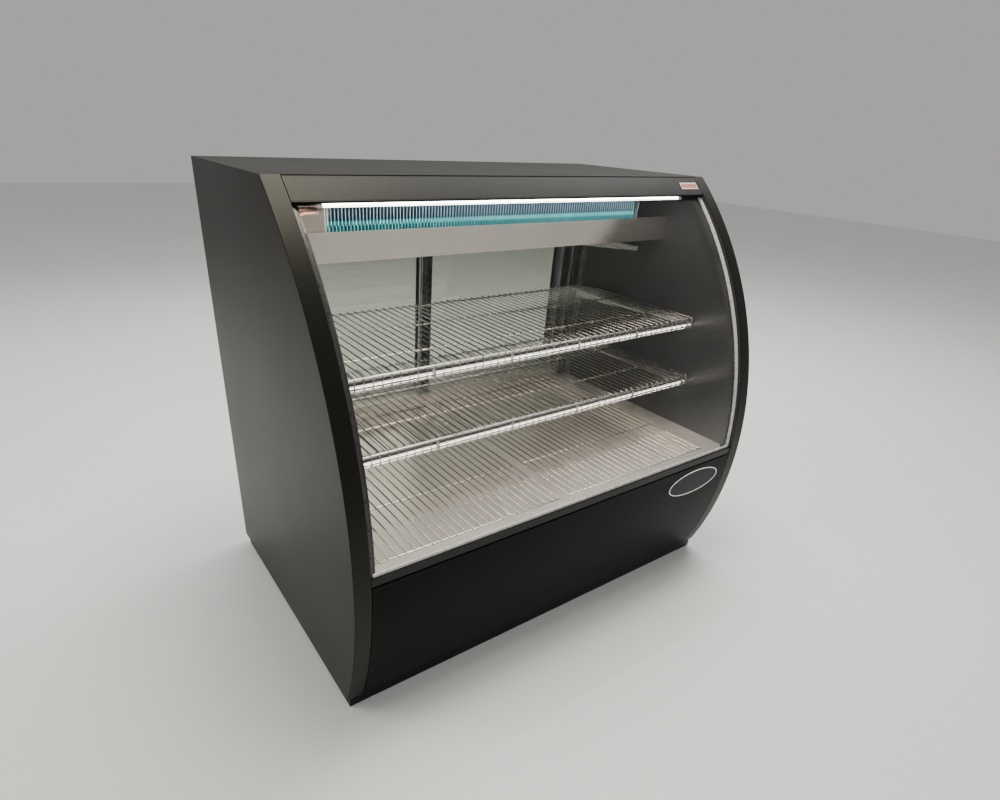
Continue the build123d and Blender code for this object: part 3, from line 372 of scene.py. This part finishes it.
def clear_glass(name, tint, shadow_tint, index):
    """Float glass. Lamps and soft light pass straight through it, which keeps what is behind it bright."""
    material, tree, shader = new_material(
        name, Transmission_Weight=1.0, IOR=index, Base_Color=(*tint, 1)
    )
    shade(tree, shader, roughness=remap(tree, noise(tree, 3.0, 5.0), 0.0, 0.012))
    clear = tree.nodes.new("ShaderNodeBsdfTransparent")
    clear.inputs["Color"].default_value = (*shadow_tint, 1)
    rays = tree.nodes.new("ShaderNodeLightPath")
    either = tree.nodes.new("ShaderNodeMath")
    either.operation = "MAXIMUM"
    tree.links.new(rays.outputs["Is Shadow Ray"], either.inputs[0])
    tree.links.new(rays.outputs["Is Diffuse Ray"], either.inputs[1])
    mix = tree.nodes.new("ShaderNodeMixShader")
    tree.links.new(either.outputs["Value"], mix.inputs["Fac"])
    tree.links.new(shader.outputs["BSDF"], mix.inputs[1])
    tree.links.new(clear.outputs["BSDF"], mix.inputs[2])
    tree.links.new(mix.outputs["Shader"], tree.nodes["Material Output"].inputs["Surface"])
    return material


MATERIALS = {
    "powder_coat": powder_coat("powder_coat", (0.005, 0.0049, 0.0042), 0.18),
    # A darker, duller, bluer copy of the powder coat for the lower front panel: painted shade, standing
    # for the dark floor the panel reflects.
    "powder_coat_shaded": powder_coat("powder_coat_shaded", (0.002, 0.0022, 0.0026), 0.06),
    "black_sheet": black_sheet(),
    "dark_liner": dark_liner(),
    "stainless_x": brushed("stainless_x", (0.78, 0.725, 0.67), 0.32, 0.42, "X", 0.05, 0.8),
    "stainless_pan": brushed("stainless_pan", (0.82, 0.765, 0.71), 0.15, 0.22, "X", 0.04, 0.96),
    # The tank floor is lighter than the other stainless: a painted highlight for the deck lit by the shelf
    # lamps.
    "stainless_deck": brushed("stainless_deck", (0.9, 0.84, 0.78), 0.22, 0.28, "X", 0.06, 0.66),
    "stainless_y": brushed("stainless_y", (0.62, 0.605, 0.59), 0.2, 0.34, "Y"),
    "stainless_z": brushed("stainless_z", (0.62, 0.6, 0.585), 0.2, 0.32, "Z"),
    "aluminium": aluminium(),
    "bright_trim": bright_trim("bright_trim"),
    "galvanised": galvanised(),
    # The wires' plating is a darker copy of the rods' plating: painted shade, standing for the dark room
    # the wires reflect.
    "chrome_wire": chrome_wire("chrome_wire", (0.36, 0.355, 0.34)),
    "chrome_rod": chrome_wire("chrome_rod", (0.68, 0.67, 0.64)),
    "zinc": zinc(),
    "copper": copper(),
    # Fin colour by height: the bright band across the middle is a painted highlight, and the darker upper
    # bank is painted shade.
    "coil_fins": fin_coating_with_painted_light(
        "coil_fins", 0.3,
        (0.0, (0.01, 0.24, 0.27)), (0.46, (0.02, 0.3, 0.34)), (0.49, (0.15, 0.95, 1.0)),
        (0.55, (0.15, 0.95, 1.0)), (0.59, (0.02, 0.1, 0.16)), (1.0, (0.05, 0.13, 0.22)),
    ),
    # The folded fin edges get a lighter copy of the fin colours: a painted highlight on the edges, with
    # the same painted band.
    "fin_hems": fin_coating_with_painted_light(
        "fin_hems", 0.1,
        (0.0, (0.05, 0.46, 0.5)), (0.46, (0.06, 0.52, 0.57)), (0.49, (0.45, 1.0, 1.0)),
        (0.55, (0.45, 1.0, 1.0)), (0.59, (0.1, 0.4, 0.5)), (0.66, (0.32, 0.54, 0.72)),
        (1.0, (0.42, 0.64, 0.82)),
    ),
    "rubber": rubber(),
    "foam": foam(),
    "black_plastic": plastic("black_plastic", (0.018, 0.018, 0.019), 0.38, 0.5),
    "white_plastic": plastic("white_plastic", (0.74, 0.75, 0.73), 0.3, 0.42),
    "nylon": plastic("nylon", (0.72, 0.7, 0.62), 0.35, 0.5),
    "pvc": plastic("pvc", (0.66, 0.66, 0.63), 0.25, 0.35, 500.0),
    "black_enamel": plastic("black_enamel", (0.01, 0.01, 0.011), 0.12, 0.22, 300.0, 0.0003),
    "badge_face": plastic("badge_face", (0.006, 0.009, 0.013), 0.3, 0.4, 600.0, 0.00005, 0.1),
    "header_lens": light_diffuser("header_lens", (1.0, 0.95, 0.88), 17.0),
    "shelf_lens": light_diffuser("shelf_lens", (1.0, 0.9, 0.78), 1.5),
    "shelf_window": light_diffuser("shelf_window", (1.0, 0.92, 0.84), 58.0),
    "silver": bright_trim("silver"),
    "slate": plastic("slate", (0.022, 0.028, 0.034), 0.22, 0.32),
    # Dark anodised finish of the shelf light channels; the left glass trim also wears it, as painted
    # shade.
    "dark_anodised_and_shade": plastic("dark_anodised_and_shade", (0.03, 0.03, 0.03), 0.25, 0.35, gloss=0.5),
    "label_paper": plastic("label_paper", (0.72, 0.68, 0.66), 0.35, 0.45),
    "label_ink": plastic("label_ink", (0.45, 0.12, 0.1), 0.35, 0.45),
    "front_glass": clear_glass("front_glass", (0.985, 0.985, 0.98), (0.95, 0.95, 0.94), 1.2),
    # The door glass tint is partly its grey-green coating and partly painted shade, darkened to dim the
    # floor seen through it.
    "door_glass": clear_glass("door_glass", (0.66, 0.69, 0.63), (0.72, 0.75, 0.7), 1.42),
}

NODE_MATERIALS = {
    "base_frame": "galvanised", "toe_kick": "powder_coat", "levelling_feet": "zinc",
    "left_end_skin": "powder_coat", "right_end_skin": "powder_coat", "panel_foam_cores": "foam",
    "end_panel_liners": "dark_liner", "glass_hinge_bushes": "nylon", "top_panel": "powder_coat",
    "ceiling_liner": "dark_liner", "header_fascia": "powder_coat", "lower_front_panel": "powder_coat_shaded",
    "badge_plate": "badge_face", "front_glass": "front_glass", "glass_edge_trim": "bright_trim",
    "glass_hinge_rail": "black_sheet", "glass_hinge_pins": "zinc", "glass_gaskets": "rubber",
    "tank_liner": "stainless_deck", "tank_insulation": "foam", "drain_fitting": "pvc",
    "condensate_pan": "galvanised", "header_light_housing": "white_plastic",
    "header_light_lens": "header_lens", "evaporator_fins": "coil_fins",
    "evaporator_end_plates": "galvanised", "evaporator_tubes": "copper", "drip_pan": "stainless_pan",
    "rear_jambs": "stainless_z", "jamb_seals": "rubber", "rear_sill": "stainless_x",
    "rear_head": "black_sheet", "left_door_frame": "aluminium", "left_door_glass": "door_glass",
    "right_door_frame": "aluminium", "right_door_glass": "door_glass", "pilasters": "stainless_z",
    "shelf_brackets": "stainless_y", "upper_wire_shelf": "chrome_wire",
    "lower_wire_shelf": "chrome_wire", "upper_shelf_light": "shelf_lens",
    "lower_shelf_light": "shelf_lens", "left_deck_rack": "chrome_wire",
    "right_deck_rack": "chrome_wire", "compressor": "black_enamel", "condenser_coil": "aluminium",
    "condenser_shroud": "galvanised", "fan_blade": "black_plastic", "fan_motor": "black_enamel",
    "suction_line": "rubber", "refrigerant_lines": "copper", "electrical_box": "white_plastic",
    "rear_access_panel": "galvanised", "panel_screws": "zinc", "cord_gland": "black_plastic",
    "control_panel": "black_plastic", "power_switch": "black_plastic",
    "light_switch": "black_plastic", "button_up": "white_plastic", "button_down": "white_plastic",
}
for node_name, material_name in NODE_MATERIALS.items():
    mesh = nodes[node_name].data
    mesh.materials.clear()
    mesh.materials.append(MATERIALS[material_name])


# ---------------------------------------------------------------- mesh helpers
def ring_faces(rings, sides):
    """Faces of a closed stack of rings, with a cap on each end."""
    faces = []
    for r in range(rings - 1):
        for k in range(sides):
            a = r * sides + k
            b = r * sides + (k + 1) % sides
            faces.append((a, b, b + sides, a + sides))
    faces.append(tuple(reversed(range(sides))))
    faces.append(tuple(range((rings - 1) * sides, rings * sides)))
    return faces


class Shape:
    """Collects closed solids into one mesh."""

    def __init__(self):
        self.verts = []
        self.faces = []

    def add(self, verts, faces):
        """Adds one solid."""
        first = len(self.verts)
        self.verts.extend(tuple(v) for v in verts)
        self.faces.extend(tuple(i + first for i in face) for face in faces)

    def box(self, low, high):
        """Adds a block between two opposite corners."""
        (x0, y0, z0), (x1, y1, z1) = low, high
        corners = [(x, y, z) for x in (x0, x1) for y in (y0, y1) for z in (z0, z1)]
        sides = [(0, 1, 3, 2), (4, 6, 7, 5), (0, 4, 5, 1), (2, 3, 7, 6), (0, 2, 6, 4), (1, 5, 7, 3)]
        self.add(corners, sides)

    def tube(self, path, radius, sides=12):
        """Round bar along path, with softly domed ends."""
        path = [Vector(p) for p in path]
        first = (path[0] - path[1]).normalized()
        last = (path[-1] - path[-2]).normalized()
        tip, shoulder, tip_share = -0.4 * radius, -0.85 * radius, 0.72
        centres = [path[0] + first * tip, path[0] + first * shoulder]
        centres += path[1:-1]
        centres += [path[-1] + last * shoulder, path[-1] + last * tip]
        shares = [tip_share] + [1.0] * (len(centres) - 2) + [tip_share]
        reference = Vector((1, 0, 0)) if abs(first.x) < 0.9 else Vector((0, 1, 0))
        verts = []
        for i, (centre, share) in enumerate(zip(centres, shares)):
            before = centres[max(i - 1, 0)]
            after = centres[min(i + 1, len(centres) - 1)]
            along = (after - before).normalized()
            across = (reference - along * reference.dot(along)).normalized()
            upward = along.cross(across)
            for k in range(sides):
                turn = 2 * pi * k / sides
                verts.append(centre + (across * cos(turn) + upward * sin(turn)) * radius * share)
        self.add(verts, ring_faces(len(centres), sides))

    def bar(self, start, end, radius, sides=12):
        """Straight round bar from start to end."""
        middle = [(a + b) / 2 for a, b in zip(start, end)]
        self.tube([start, middle, end], radius, sides)

    def prism(self, near, far):
        """Solid between two matching closed outlines."""
        count = len(near)
        faces = [(i, (i + 1) % count, (i + 1) % count + count, i + count) for i in range(count)]
        faces.append(tuple(reversed(range(count))))
        faces.append(tuple(range(count, 2 * count)))
        self.add(near + far, faces)

    def profile(self, outline, x0, x1):
        """Solid of a closed (y, z) outline between two X planes."""
        self.prism([(x0, y, z) for y, z in outline], [(x1, y, z) for y, z in outline])

    def column(self, outline, z0, z1):
        """Solid of a closed (x, y) outline between two levels."""
        self.prism([(x, y, z0) for x, y in outline], [(x, y, z1) for x, y in outline])

    def make(self, name, body, material, bevel=0.0, sharp=40.0, replaces=()):
        """The finished object, riding on its body."""
        mesh = bpy.data.meshes.new(name)
        mesh.from_pydata(self.verts, [], self.faces)
        mesh.validate()
        tidy_normals(mesh)
        mesh.polygons.foreach_set("use_smooth", [True] * len(mesh.polygons))
        mesh.set_sharp_from_angle(angle=radians(sharp))
        mesh.materials.append(MATERIALS[material])
        piece = bpy.data.objects.new(name, mesh)
        bpy.context.scene.collection.objects.link(piece)
        if bevel:
            soften = piece.modifiers.new("soft_edges", "BEVEL")
            soften.width = bevel
            soften.segments = 2
            soften.limit_method = "ANGLE"
            soften.angle_limit = radians(40)
            soften.harden_normals = True
        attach(piece, body)
        if replaces:
            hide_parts(*replaces)
        return piece


def tidy_normals(mesh):
    """Turns every face outwards."""
    work = bmesh.new()
    work.from_mesh(mesh)
    bmesh.ops.recalc_face_normals(work, faces=work.faces)
    work.to_mesh(mesh)
    work.free()


def bow_y(z, radius):
    """Y of the front's arc of that radius at level z."""
    return BOW_Y - sqrt(radius**2 - (z - BOW_Z) ** 2)


def bowed_outline(outer, inner, low, high, steps):
    """Closed (y, z) outline between two concentric arcs."""
    heights = [low + (high - low) * i / steps for i in range(steps + 1)]
    front = [(bow_y(z, outer), z) for z in heights]
    back = [(bow_y(z, inner), z) for z in reversed(heights)]
    return front + back


# ---------------------------------------------------------------- front glass
def front_glass():
    """Curved sheet, a channel on each upright edge and a strip along its foot."""
    low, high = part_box("front_glass")
    sheet = Shape()
    sheet.profile(bowed_outline(GLASS_OUTER, GLASS_INNER, low.z, high.z, GLASS_STEPS), -GLASS_X, GLASS_X)
    sheet.make("front_glass_sheet", "front_glass", "front_glass", 0.8 * MM, replaces=["front_glass"])
    face = (GLASS_OUTER + TRIM_SHEET, GLASS_OUTER + TRIM_GAP)
    back = (GLASS_INNER - TRIM_GAP, GLASS_INNER - TRIM_SHEET)
    web = (GLASS_OUTER + TRIM_GAP, GLASS_INNER - TRIM_GAP)
    # The left trim is the same part as the bright right trim, made black as painted shade for the dark
    # reflection it shows.
    for side, name, look in ((-1, "left", "dark_anodised_and_shade"), (1, "right", "bright_trim")):
        trim = Shape()
        for radii, edge in ((face, TRIM_INNER_X), (back, TRIM_INNER_X), (web, TRIM_WEB_X)):
            outline = bowed_outline(*radii, TRIM_FOOT, high.z, GLASS_STEPS)
            trim.profile(outline, *sorted((side * TRIM_X, side * edge)))
        trim.make("front_glass_trim_" + name, "front_glass", look, 0.3 * MM)
    sill = Shape()
    outline = bowed_outline(*face, TRIM_FOOT, TRIM_FOOT + SILL_TRIM_HEIGHT, 4)
    sill.profile(outline, -TRIM_INNER_X, TRIM_INNER_X)
    sill.make(
        "front_glass_trim_bottom", "front_glass", "bright_trim", 0.3 * MM,
        replaces=["glass_edge_trim"],
    )


# ---------------------------------------------------------------- wire shelves and racks
def bent_wire(x, front, back, top):
    """Centre line of a shelf wire: level, then turned down at the front."""
    z = top - WIRE_R
    y = front + WIRE_R
    path = [(x, back, z), (x, (back + front) / 2, z)]
    for i in range(FRONT_BEND_STEPS + 1):
        turn = radians(90 * i / FRONT_BEND_STEPS)
        path.append((x, y + FRONT_BEND * (1 - sin(turn)), z - FRONT_BEND * (1 - cos(turn))))
    path.append((x, y, z - FRONT_DROP))
    return path


def wire_shelf(node, body, rod_ys):
    """Shelf of front-to-back wires on cross rods, with two rods behind its turned-down front."""
    low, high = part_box(node)
    wires = Shape()
    for i in range(SHELF_WIRES):
        x = (i - (SHELF_WIRES - 1) / 2) * WIRE_PITCH
        wires.tube(bent_wire(x, low.y, high.y, high.z), WIRE_R)
    wires.make(body + "_wires", body, "chrome_wire", sharp=60)
    rods = Shape()
    rod_z = high.z - 2 * WIRE_R - ROD_R + WELD
    front = low.y + 5 * MM
    for y, z in [(y, rod_z) for y in (*rod_ys, front)] + [(front, high.z - FRONT_DROP)]:
        rods.bar((-high.x, y, z), (high.x, y, z), ROD_R, ROD_SIDES)
    rods.make(body + "_rods", body, "chrome_rod", sharp=60, replaces=[node])


def deck_rack(node, body):
    """Flat rack of front-to-back wires on cross rods, with short rod feet."""
    low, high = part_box(node)
    wire_z = high.z - WIRE_R
    rod_z = high.z - 2 * WIRE_R - ROD_R + WELD
    middle = (low.x + high.x) / 2
    wires = Shape()
    for i in range(RACK_WIRES):
        x = middle + (i - (RACK_WIRES - 1) / 2) * WIRE_PITCH
        wires.bar((x, low.y, wire_z), (x, high.y, wire_z), WIRE_R)
    wires.make(body + "_wires", body, "chrome_wire", sharp=60)
    rods = Shape()
    front, second, third, back = low.y + 8 * MM, -192 * MM, 90 * MM, high.y - 8 * MM
    for y in (front, second, third, back):
        rods.bar((low.x, y, rod_z), (high.x, y, rod_z), ROD_R, ROD_SIDES)
    for x in (low.x + 30 * MM, high.x - 30 * MM):
        for y in (front, third, back):
            rods.bar((x, y, low.z), (x, y, rod_z), ROD_R, ROD_SIDES)
    rods.make(body + "_rods", body, "chrome_rod", sharp=60, replaces=[node])


def crowned_outline(front, back, low, high, crown):
    """Closed (y, z) outline whose front swells by the crown at mid height."""
    steps = 10
    swell = []
    for i in range(steps + 1):
        share = i / steps
        swell.append((front + crown * (2 * share - 1) ** 2, low + (high - low) * share))
    return swell + [(back, high), (back, low)]


def shelf_light(node, body):
    """LED bar: dark channel, milky lens, bright window below it, and clips that hold it to the rods."""
    low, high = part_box(node)
    y0, y1 = low.y + 0.8 * MM, high.y
    z0, z1 = low.z + 1 * MM, high.z - 1 * MM
    lens_top = z0 + 6.5 * MM
    lens_back = y1 - LED_WALL
    ends = (low.x + LED_CAP, high.x - LED_CAP)
    channel = Shape()
    channel.box((low.x, y0 + 1.5 * MM, lens_top), (high.x, y1, z1))
    channel.box((low.x, lens_back, z0), (high.x, y1, lens_top))
    for x0, x1 in ((low.x, ends[0]), (ends[1], high.x)):
        channel.box((x0, y0, z0), (x1, lens_back, lens_top))
    channel.make(body + "_light_channel", body, "dark_anodised_and_shade", 0.3 * MM, replaces=[node])
    lens = Shape()
    lens.profile(crowned_outline(y0, lens_back, z0 + 1.2 * MM, lens_top, 1.2 * MM), *ends)
    lens.make(body + "_light_lens", body, "shelf_lens")
    window = Shape()
    window_front = y0 + 0.9 * MM
    window.profile(crowned_outline(window_front, lens_back, z0 + 0.2 * MM, z0 + 1.1 * MM, 0.3 * MM), *ends)
    window.make(body + "_light_window", body, "shelf_window")
    clips = Shape()
    for k in range(LED_CLIPS):
        x = min(-618 * MM + LED_CLIP_PITCH * k, high.x - 14 * MM)
        left, right = x - LED_CLIP_HALF, x + LED_CLIP_HALF
        clips.box((left, low.y, z0 - 1 * MM), (right, y0 - 0.05 * MM, z1 + 1 * MM))
        clips.box((left, low.y, z0 - 1 * MM), (right, y1, z0 - 0.1 * MM))
    clips.make(body + "_light_clips", body, "stainless_z", 0.2 * MM)


# ---------------------------------------------------------------- badge and label
def oval_row(wide, tall, radius):
    """Points of an oval that lies on the bow at a radius, centred on the badge."""
    row = []
    for k in range(BADGE_STEPS):
        turn = 2 * pi * k / BADGE_STEPS
        z = BADGE_Z + tall * sin(turn)
        row.append((BADGE_X + wide * cos(turn), bow_y(z, radius), z))
    return row


def oval_ring(shape, outer, inner, top, base):
    """Raised oval ring between two (half width, half height) pairs."""
    rows = [(outer, base), (outer, top), (inner, top), (inner, base)]
    verts = [point for (wide, tall), radius in rows for point in oval_row(wide, tall, radius)]
    faces = []
    for r in range(len(rows)):
        here = r * BADGE_STEPS
        there = (r + 1) % len(rows) * BADGE_STEPS
        for k in range(BADGE_STEPS):
            n = (k + 1) % BADGE_STEPS
            faces.append((here + k, here + n, there + n, there + k))
    shape.add(verts, faces)


def oval_disc(shape, wide, tall, top, base):
    """Solid oval that follows the bow, with its face at one radius and its back at another."""
    verts = []
    for radius in (top, base):
        verts.append((BADGE_X, bow_y(BADGE_Z, radius), BADGE_Z))
        for i in range(BADGE_RINGS):
            share = (i + 1) / BADGE_RINGS
            verts.extend(oval_row(wide * share, tall * share, radius))
    half = 1 + BADGE_RINGS * BADGE_STEPS
    faces = []
    for k in range(BADGE_STEPS):
        n = (k + 1) % BADGE_STEPS
        faces.append((0, 1 + k, 1 + n))
        faces.append((half, half + 1 + n, half + 1 + k))
        for r in range(BADGE_RINGS - 1):
            a = 1 + r * BADGE_STEPS
            b = a + BADGE_STEPS
            faces.append((a + k, b + k, b + n, a + n))
            faces.append((half + a + n, half + b + n, half + b + k, half + a + k))
        rim = 1 + (BADGE_RINGS - 1) * BADGE_STEPS
        faces.append((rim + k, half + rim + k, half + rim + n, rim + n))
    shape.add(verts, faces)


def badge():
    """Blank oval badge: a dark face in a silver rim."""
    base = BOW_R + 0.05 * MM
    plate = Shape()
    oval_disc(plate, 120.4 * MM, 41.4 * MM, BOW_R + 1.2 * MM, base)
    plate.make("badge_face", "case", "badge_face", replaces=["badge_plate"])
    rim = Shape()
    oval_ring(rim, (123.9 * MM, 44.9 * MM), (120.5 * MM, 41.5 * MM), BOW_R + 1.9 * MM, base)
    rim.make("badge_rim", "case", "silver", 0.3 * MM)


def bowed_plate(shape, x_span, z_span, low, high):
    """Thin rectangular plate that lies on the bow, between two heights above it."""
    shape.profile(bowed_outline(BOW_R + high, BOW_R + low, *z_span, 4), *x_span)


def header_label():
    """Small blank rating label at the right of the header."""
    paper_top, band_top, block_top = 0.3 * MM, 0.4 * MM, 0.45 * MM
    paper = Shape()
    bowed_plate(paper, (589 * MM, 668 * MM), (1251 * MM, 1267 * MM), 0.02 * MM, paper_top)
    paper.make("header_label", "case", "label_paper")
    ink = Shape()
    bowed_plate(ink, (592 * MM, 665 * MM), (1254 * MM, 1264 * MM), paper_top, band_top)
    bowed_plate(ink, (596 * MM, 630 * MM), (1256 * MM, 1262 * MM), band_top, block_top)
    ink.make("header_label_band", "case", "label_ink")


# ---------------------------------------------------------------- lamp behind the header
def header_tube():
    """Round-fronted diffuser on the front of the lamp housing, with its end caps."""
    low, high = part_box("header_light_housing")
    y, z = low.y - 5.2 * MM, low.z + 4.5 * MM
    tube_r, cap_r, cap_sides = 5 * MM, 6 * MM, 12
    open_turn, steps = 130, 24
    tube = Shape()
    turns = [radians(open_turn * (2 * k / steps - 1)) for k in range(steps + 1)]
    outline = [(y - tube_r * cos(turn), z + tube_r * sin(turn)) for turn in turns]
    outline += [(y + 4.8 * MM, z + 4.4 * MM), (y + 4.8 * MM, z - 4.4 * MM)]
    tube.profile(outline, low.x + 12 * MM, high.x - 12 * MM)
    tube.make("header_light_tube", "case", "header_lens", sharp=60)
    caps = Shape()
    turns = [2 * pi * k / cap_sides for k in range(cap_sides)]
    outline = [(y + cap_r * cos(turn), z + cap_r * sin(turn)) for turn in turns]
    for x0, x1 in ((low.x, low.x + 14 * MM), (high.x - 14 * MM, high.x)):
        caps.profile(outline, x0, x1)
    caps.make("header_light_caps", "case", "white_plastic", 0.6 * MM)


# ---------------------------------------------------------------- coil
def fin_hems():
    """Folded front edge of every fin, lower bank and upper bank."""
    low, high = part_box("evaporator_fins")
    half, overhang, depth, margin = 0.95 * MM, 0.4 * MM, 1.4 * MM, 0.3 * MM
    count = int((high.x - low.x) / FIN_PITCH)
    hems = Shape()
    for i in range(count):
        x = (i - (count - 1) / 2) * FIN_PITCH
        for front, foot, head in FIN_BANKS:
            hems.box((x - half, front - overhang, foot + margin), (x + half, front + depth, head - margin))
    hems.make("coil_fin_hems", "case", "fin_hems")


# ---------------------------------------------------------------- doors
def meeting_stile():
    """Dark slate cover with a raised rib on the meeting stile, and a wiper lip down its edge."""
    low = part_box("right_door_frame")[0]
    x0, x1 = low.x + 2 * MM, low.x + 40 * MM
    back, skirt, face, rib = [low.y - depth * MM for depth in (0.02, 0.8, 1.2, 1.9)]
    cover = Shape()
    cover.column(
        [
            (x0, back), (x0, skirt), (x0 + 1 * MM, face), (x0 + 15 * MM, face), (x0 + 17 * MM, rib),
            (x1 - 17 * MM, rib), (x1 - 15 * MM, face), (x1 - 1 * MM, face), (x1, skirt), (x1, back),
        ],
        STILE_FOOT, STILE_HEAD,
    )
    cover.make("meeting_stile_cover", "right_door", "slate", 0.3 * MM)
    root, tip, middle = low.x - 0.02 * MM, low.x - 3 * MM, low.y + 2.5 * MM
    wiper = Shape()
    wiper.column(
        [
            (root, middle - 2 * MM), (root, middle + 2 * MM), (root - 1 * MM, middle + 1.6 * MM),
            (tip + 0.5 * MM, middle + 0.7 * MM), (tip, middle), (tip + 0.5 * MM, middle - 0.7 * MM),
            (root - 1 * MM, middle - 1.6 * MM),
        ],
        STILE_FOOT, STILE_HEAD,
    )
    wiper.make("meeting_stile_wiper", "right_door", "rubber")


def glazing_beads(body):
    """Rubber bead round the glass of a door, in front of it and behind it."""
    glass_low, glass_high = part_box(body + "_glass")
    low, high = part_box(body + "_frame")
    x0, x1 = low.x + DOOR_RAIL, high.x - DOOR_RAIL
    z0, z1 = low.z + DOOR_RAIL, high.z - DOOR_RAIL
    recess, gap = 0.6 * MM, 0.05 * MM
    bead = Shape()
    for y0, y1 in ((low.y + recess, glass_low.y - gap), (glass_high.y + gap, high.y - recess)):
        bead.box((x0, y0, z0), (x1, y1, z0 + BEAD))
        bead.box((x0, y0, z1 - BEAD), (x1, y1, z1))
        bead.box((x0, y0, z0 + BEAD), (x0 + BEAD, y1, z1 - BEAD))
        bead.box((x1 - BEAD, y0, z0 + BEAD), (x1, y1, z1 - BEAD))
    bead.make(body + "_glazing_bead", body, "rubber", 0.4 * MM)


# ---------------------------------------------------------------- fasteners
def screw_head(shape, x, y, z):
    """Pan head with a round recess, facing the rear."""
    rings = [
        (1.0, 0.0), (1.0, 0.35), (0.86, 0.75), (0.6, 0.97), (0.42, 1.0), (0.38, 0.45), (0.1, 0.4),
    ]
    verts = []
    for share, rise in rings:
        for k in range(SCREW_SIDES):
            turn = 2 * pi * k / SCREW_SIDES
            reach = SCREW_R * share
            verts.append((x + reach * cos(turn), y + SCREW_HEIGHT * rise, z + reach * sin(turn)))
    shape.add(verts, ring_faces(len(rings), SCREW_SIDES))


def rear_fasteners():
    """Two rows of screws that hold the head over the doors."""
    low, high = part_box("rear_head")
    columns = 6
    side_margin, edge_margin = 24 * MM, 16 * MM
    heads = Shape()
    for k in range(columns):
        x = low.x + side_margin + (high.x - low.x - 2 * side_margin) * k / (columns - 1)
        for z in (low.z + edge_margin, high.z - edge_margin):
            screw_head(heads, x, high.y + 0.02 * MM, z)
    heads.make("rear_head_screws", "case", "zinc", sharp=35)


# ---------------------------------------------------------------- build
front_glass()
wire_shelf("upper_wire_shelf", "upper_shelf", (-94 * MM, 111 * MM, 300 * MM))
wire_shelf("lower_wire_shelf", "lower_shelf", (-103 * MM, 98 * MM, 300 * MM))
deck_rack("left_deck_rack", "left_rack")
deck_rack("right_deck_rack", "right_rack")
shelf_light("upper_shelf_light", "upper_shelf")
shelf_light("lower_shelf_light", "lower_shelf")
badge()
header_label()
header_tube()
fin_hems()
meeting_stile()
glazing_beads("left_door")
glazing_beads("right_door")
rear_fasteners()


# ---------------------------------------------------------------- stage, lights and camera
def floor():
    """Plain pale floor."""
    material, tree, shader = new_material("floor")
    varied(tree, shader, (0.8, 0.8, 0.79), 0.015, 1.2)
    shade(tree, shader, roughness=remap(tree, noise(tree, 2.0, 3.0), 0.55, 0.65))
    mesh = bpy.data.meshes.new("floor")
    reach = 14.0
    corners = [(-reach, -reach, 0), (reach, -reach, 0), (reach, reach, 0), (-reach, reach, 0)]
    mesh.from_pydata(corners, [], [(0, 1, 2, 3)])
    mesh.materials.append(material)
    plane = bpy.data.objects.new("floor", mesh)
    bpy.context.scene.collection.objects.link(plane)


def softbox(name, place, target, size, watts, mirrored=True, colour=(1, 1, 1)):
    """Soft rectangular lamp; one that isn't mirrored leaves no panel of light in glossy surfaces."""
    light = bpy.data.lights.new(name, "AREA")
    light.shape = "RECTANGLE"
    light.size, light.size_y = size
    light.energy = watts
    light.color = colour
    lamp = bpy.data.objects.new(name, light)
    lamp.location = place
    lamp.visible_glossy = mirrored
    lamp.rotation_euler = (Vector(target) - Vector(place)).to_track_quat("-Z", "Y").to_euler()
    bpy.context.scene.collection.objects.link(lamp)


def studio():
    """Pale surroundings and five softboxes."""
    world = bpy.data.worlds.new("studio")
    world.use_nodes = True
    background = world.node_tree.nodes["Background"]
    background.inputs["Color"].default_value = (1.0, 0.985, 0.95, 1)
    background.inputs["Strength"].default_value = 0.44
    bpy.context.scene.world = world
    softbox("key", (-3.6, 1.2, 3.2), (-1.6, 1.6, 0), (2.4, 2.4), 78, False, (1.0, 0.97, 0.89))
    softbox("overhead", (1.9, 0.62, 3.6), (1.9, 0.62, 0), (4.4, 1.9), 150)
    softbox("header", (-0.15, -0.3, 3.3), (-0.15, -0.3, 0), (0.9, 1.0), 44, colour=(1.0, 0.92, 0.74))
    softbox("fill", (-1.6, -3.4, 2.2), (0, 0, 0.7), (2.0, 1.6), 25, False)
    softbox("back", (0.5, 3.6, 3.0), (0, 0, 0.7), (2.6, 1.8), 45, False)


def camera():
    """The photo's viewpoint, 1.4 m up and to the left of the front."""
    yaw, pitch, roll = 0.62093, -0.50347, 0.05633
    forward = Vector((sin(yaw) * cos(pitch), cos(yaw) * cos(pitch), sin(pitch)))
    level = Vector((cos(yaw), -sin(yaw), 0))
    lift = level.cross(forward)
    right = level * cos(roll) + lift * sin(roll)
    up = lift * cos(roll) - level * sin(roll)
    data = bpy.data.cameras.new("camera")
    data.sensor_width = 36
    data.lens = 21.80
    data.shift_x = 0.0413
    data.shift_y = 0.0603
    eye = bpy.data.objects.new("camera", data)
    rotation = Matrix((right, up, -forward)).transposed()
    eye.matrix_world = Matrix.Translation((-1.1503, -1.4422, 1.3878)) @ rotation.to_4x4()
    bpy.context.scene.collection.objects.link(eye)
    bpy.context.scene.camera = eye


floor()
studio()
camera()
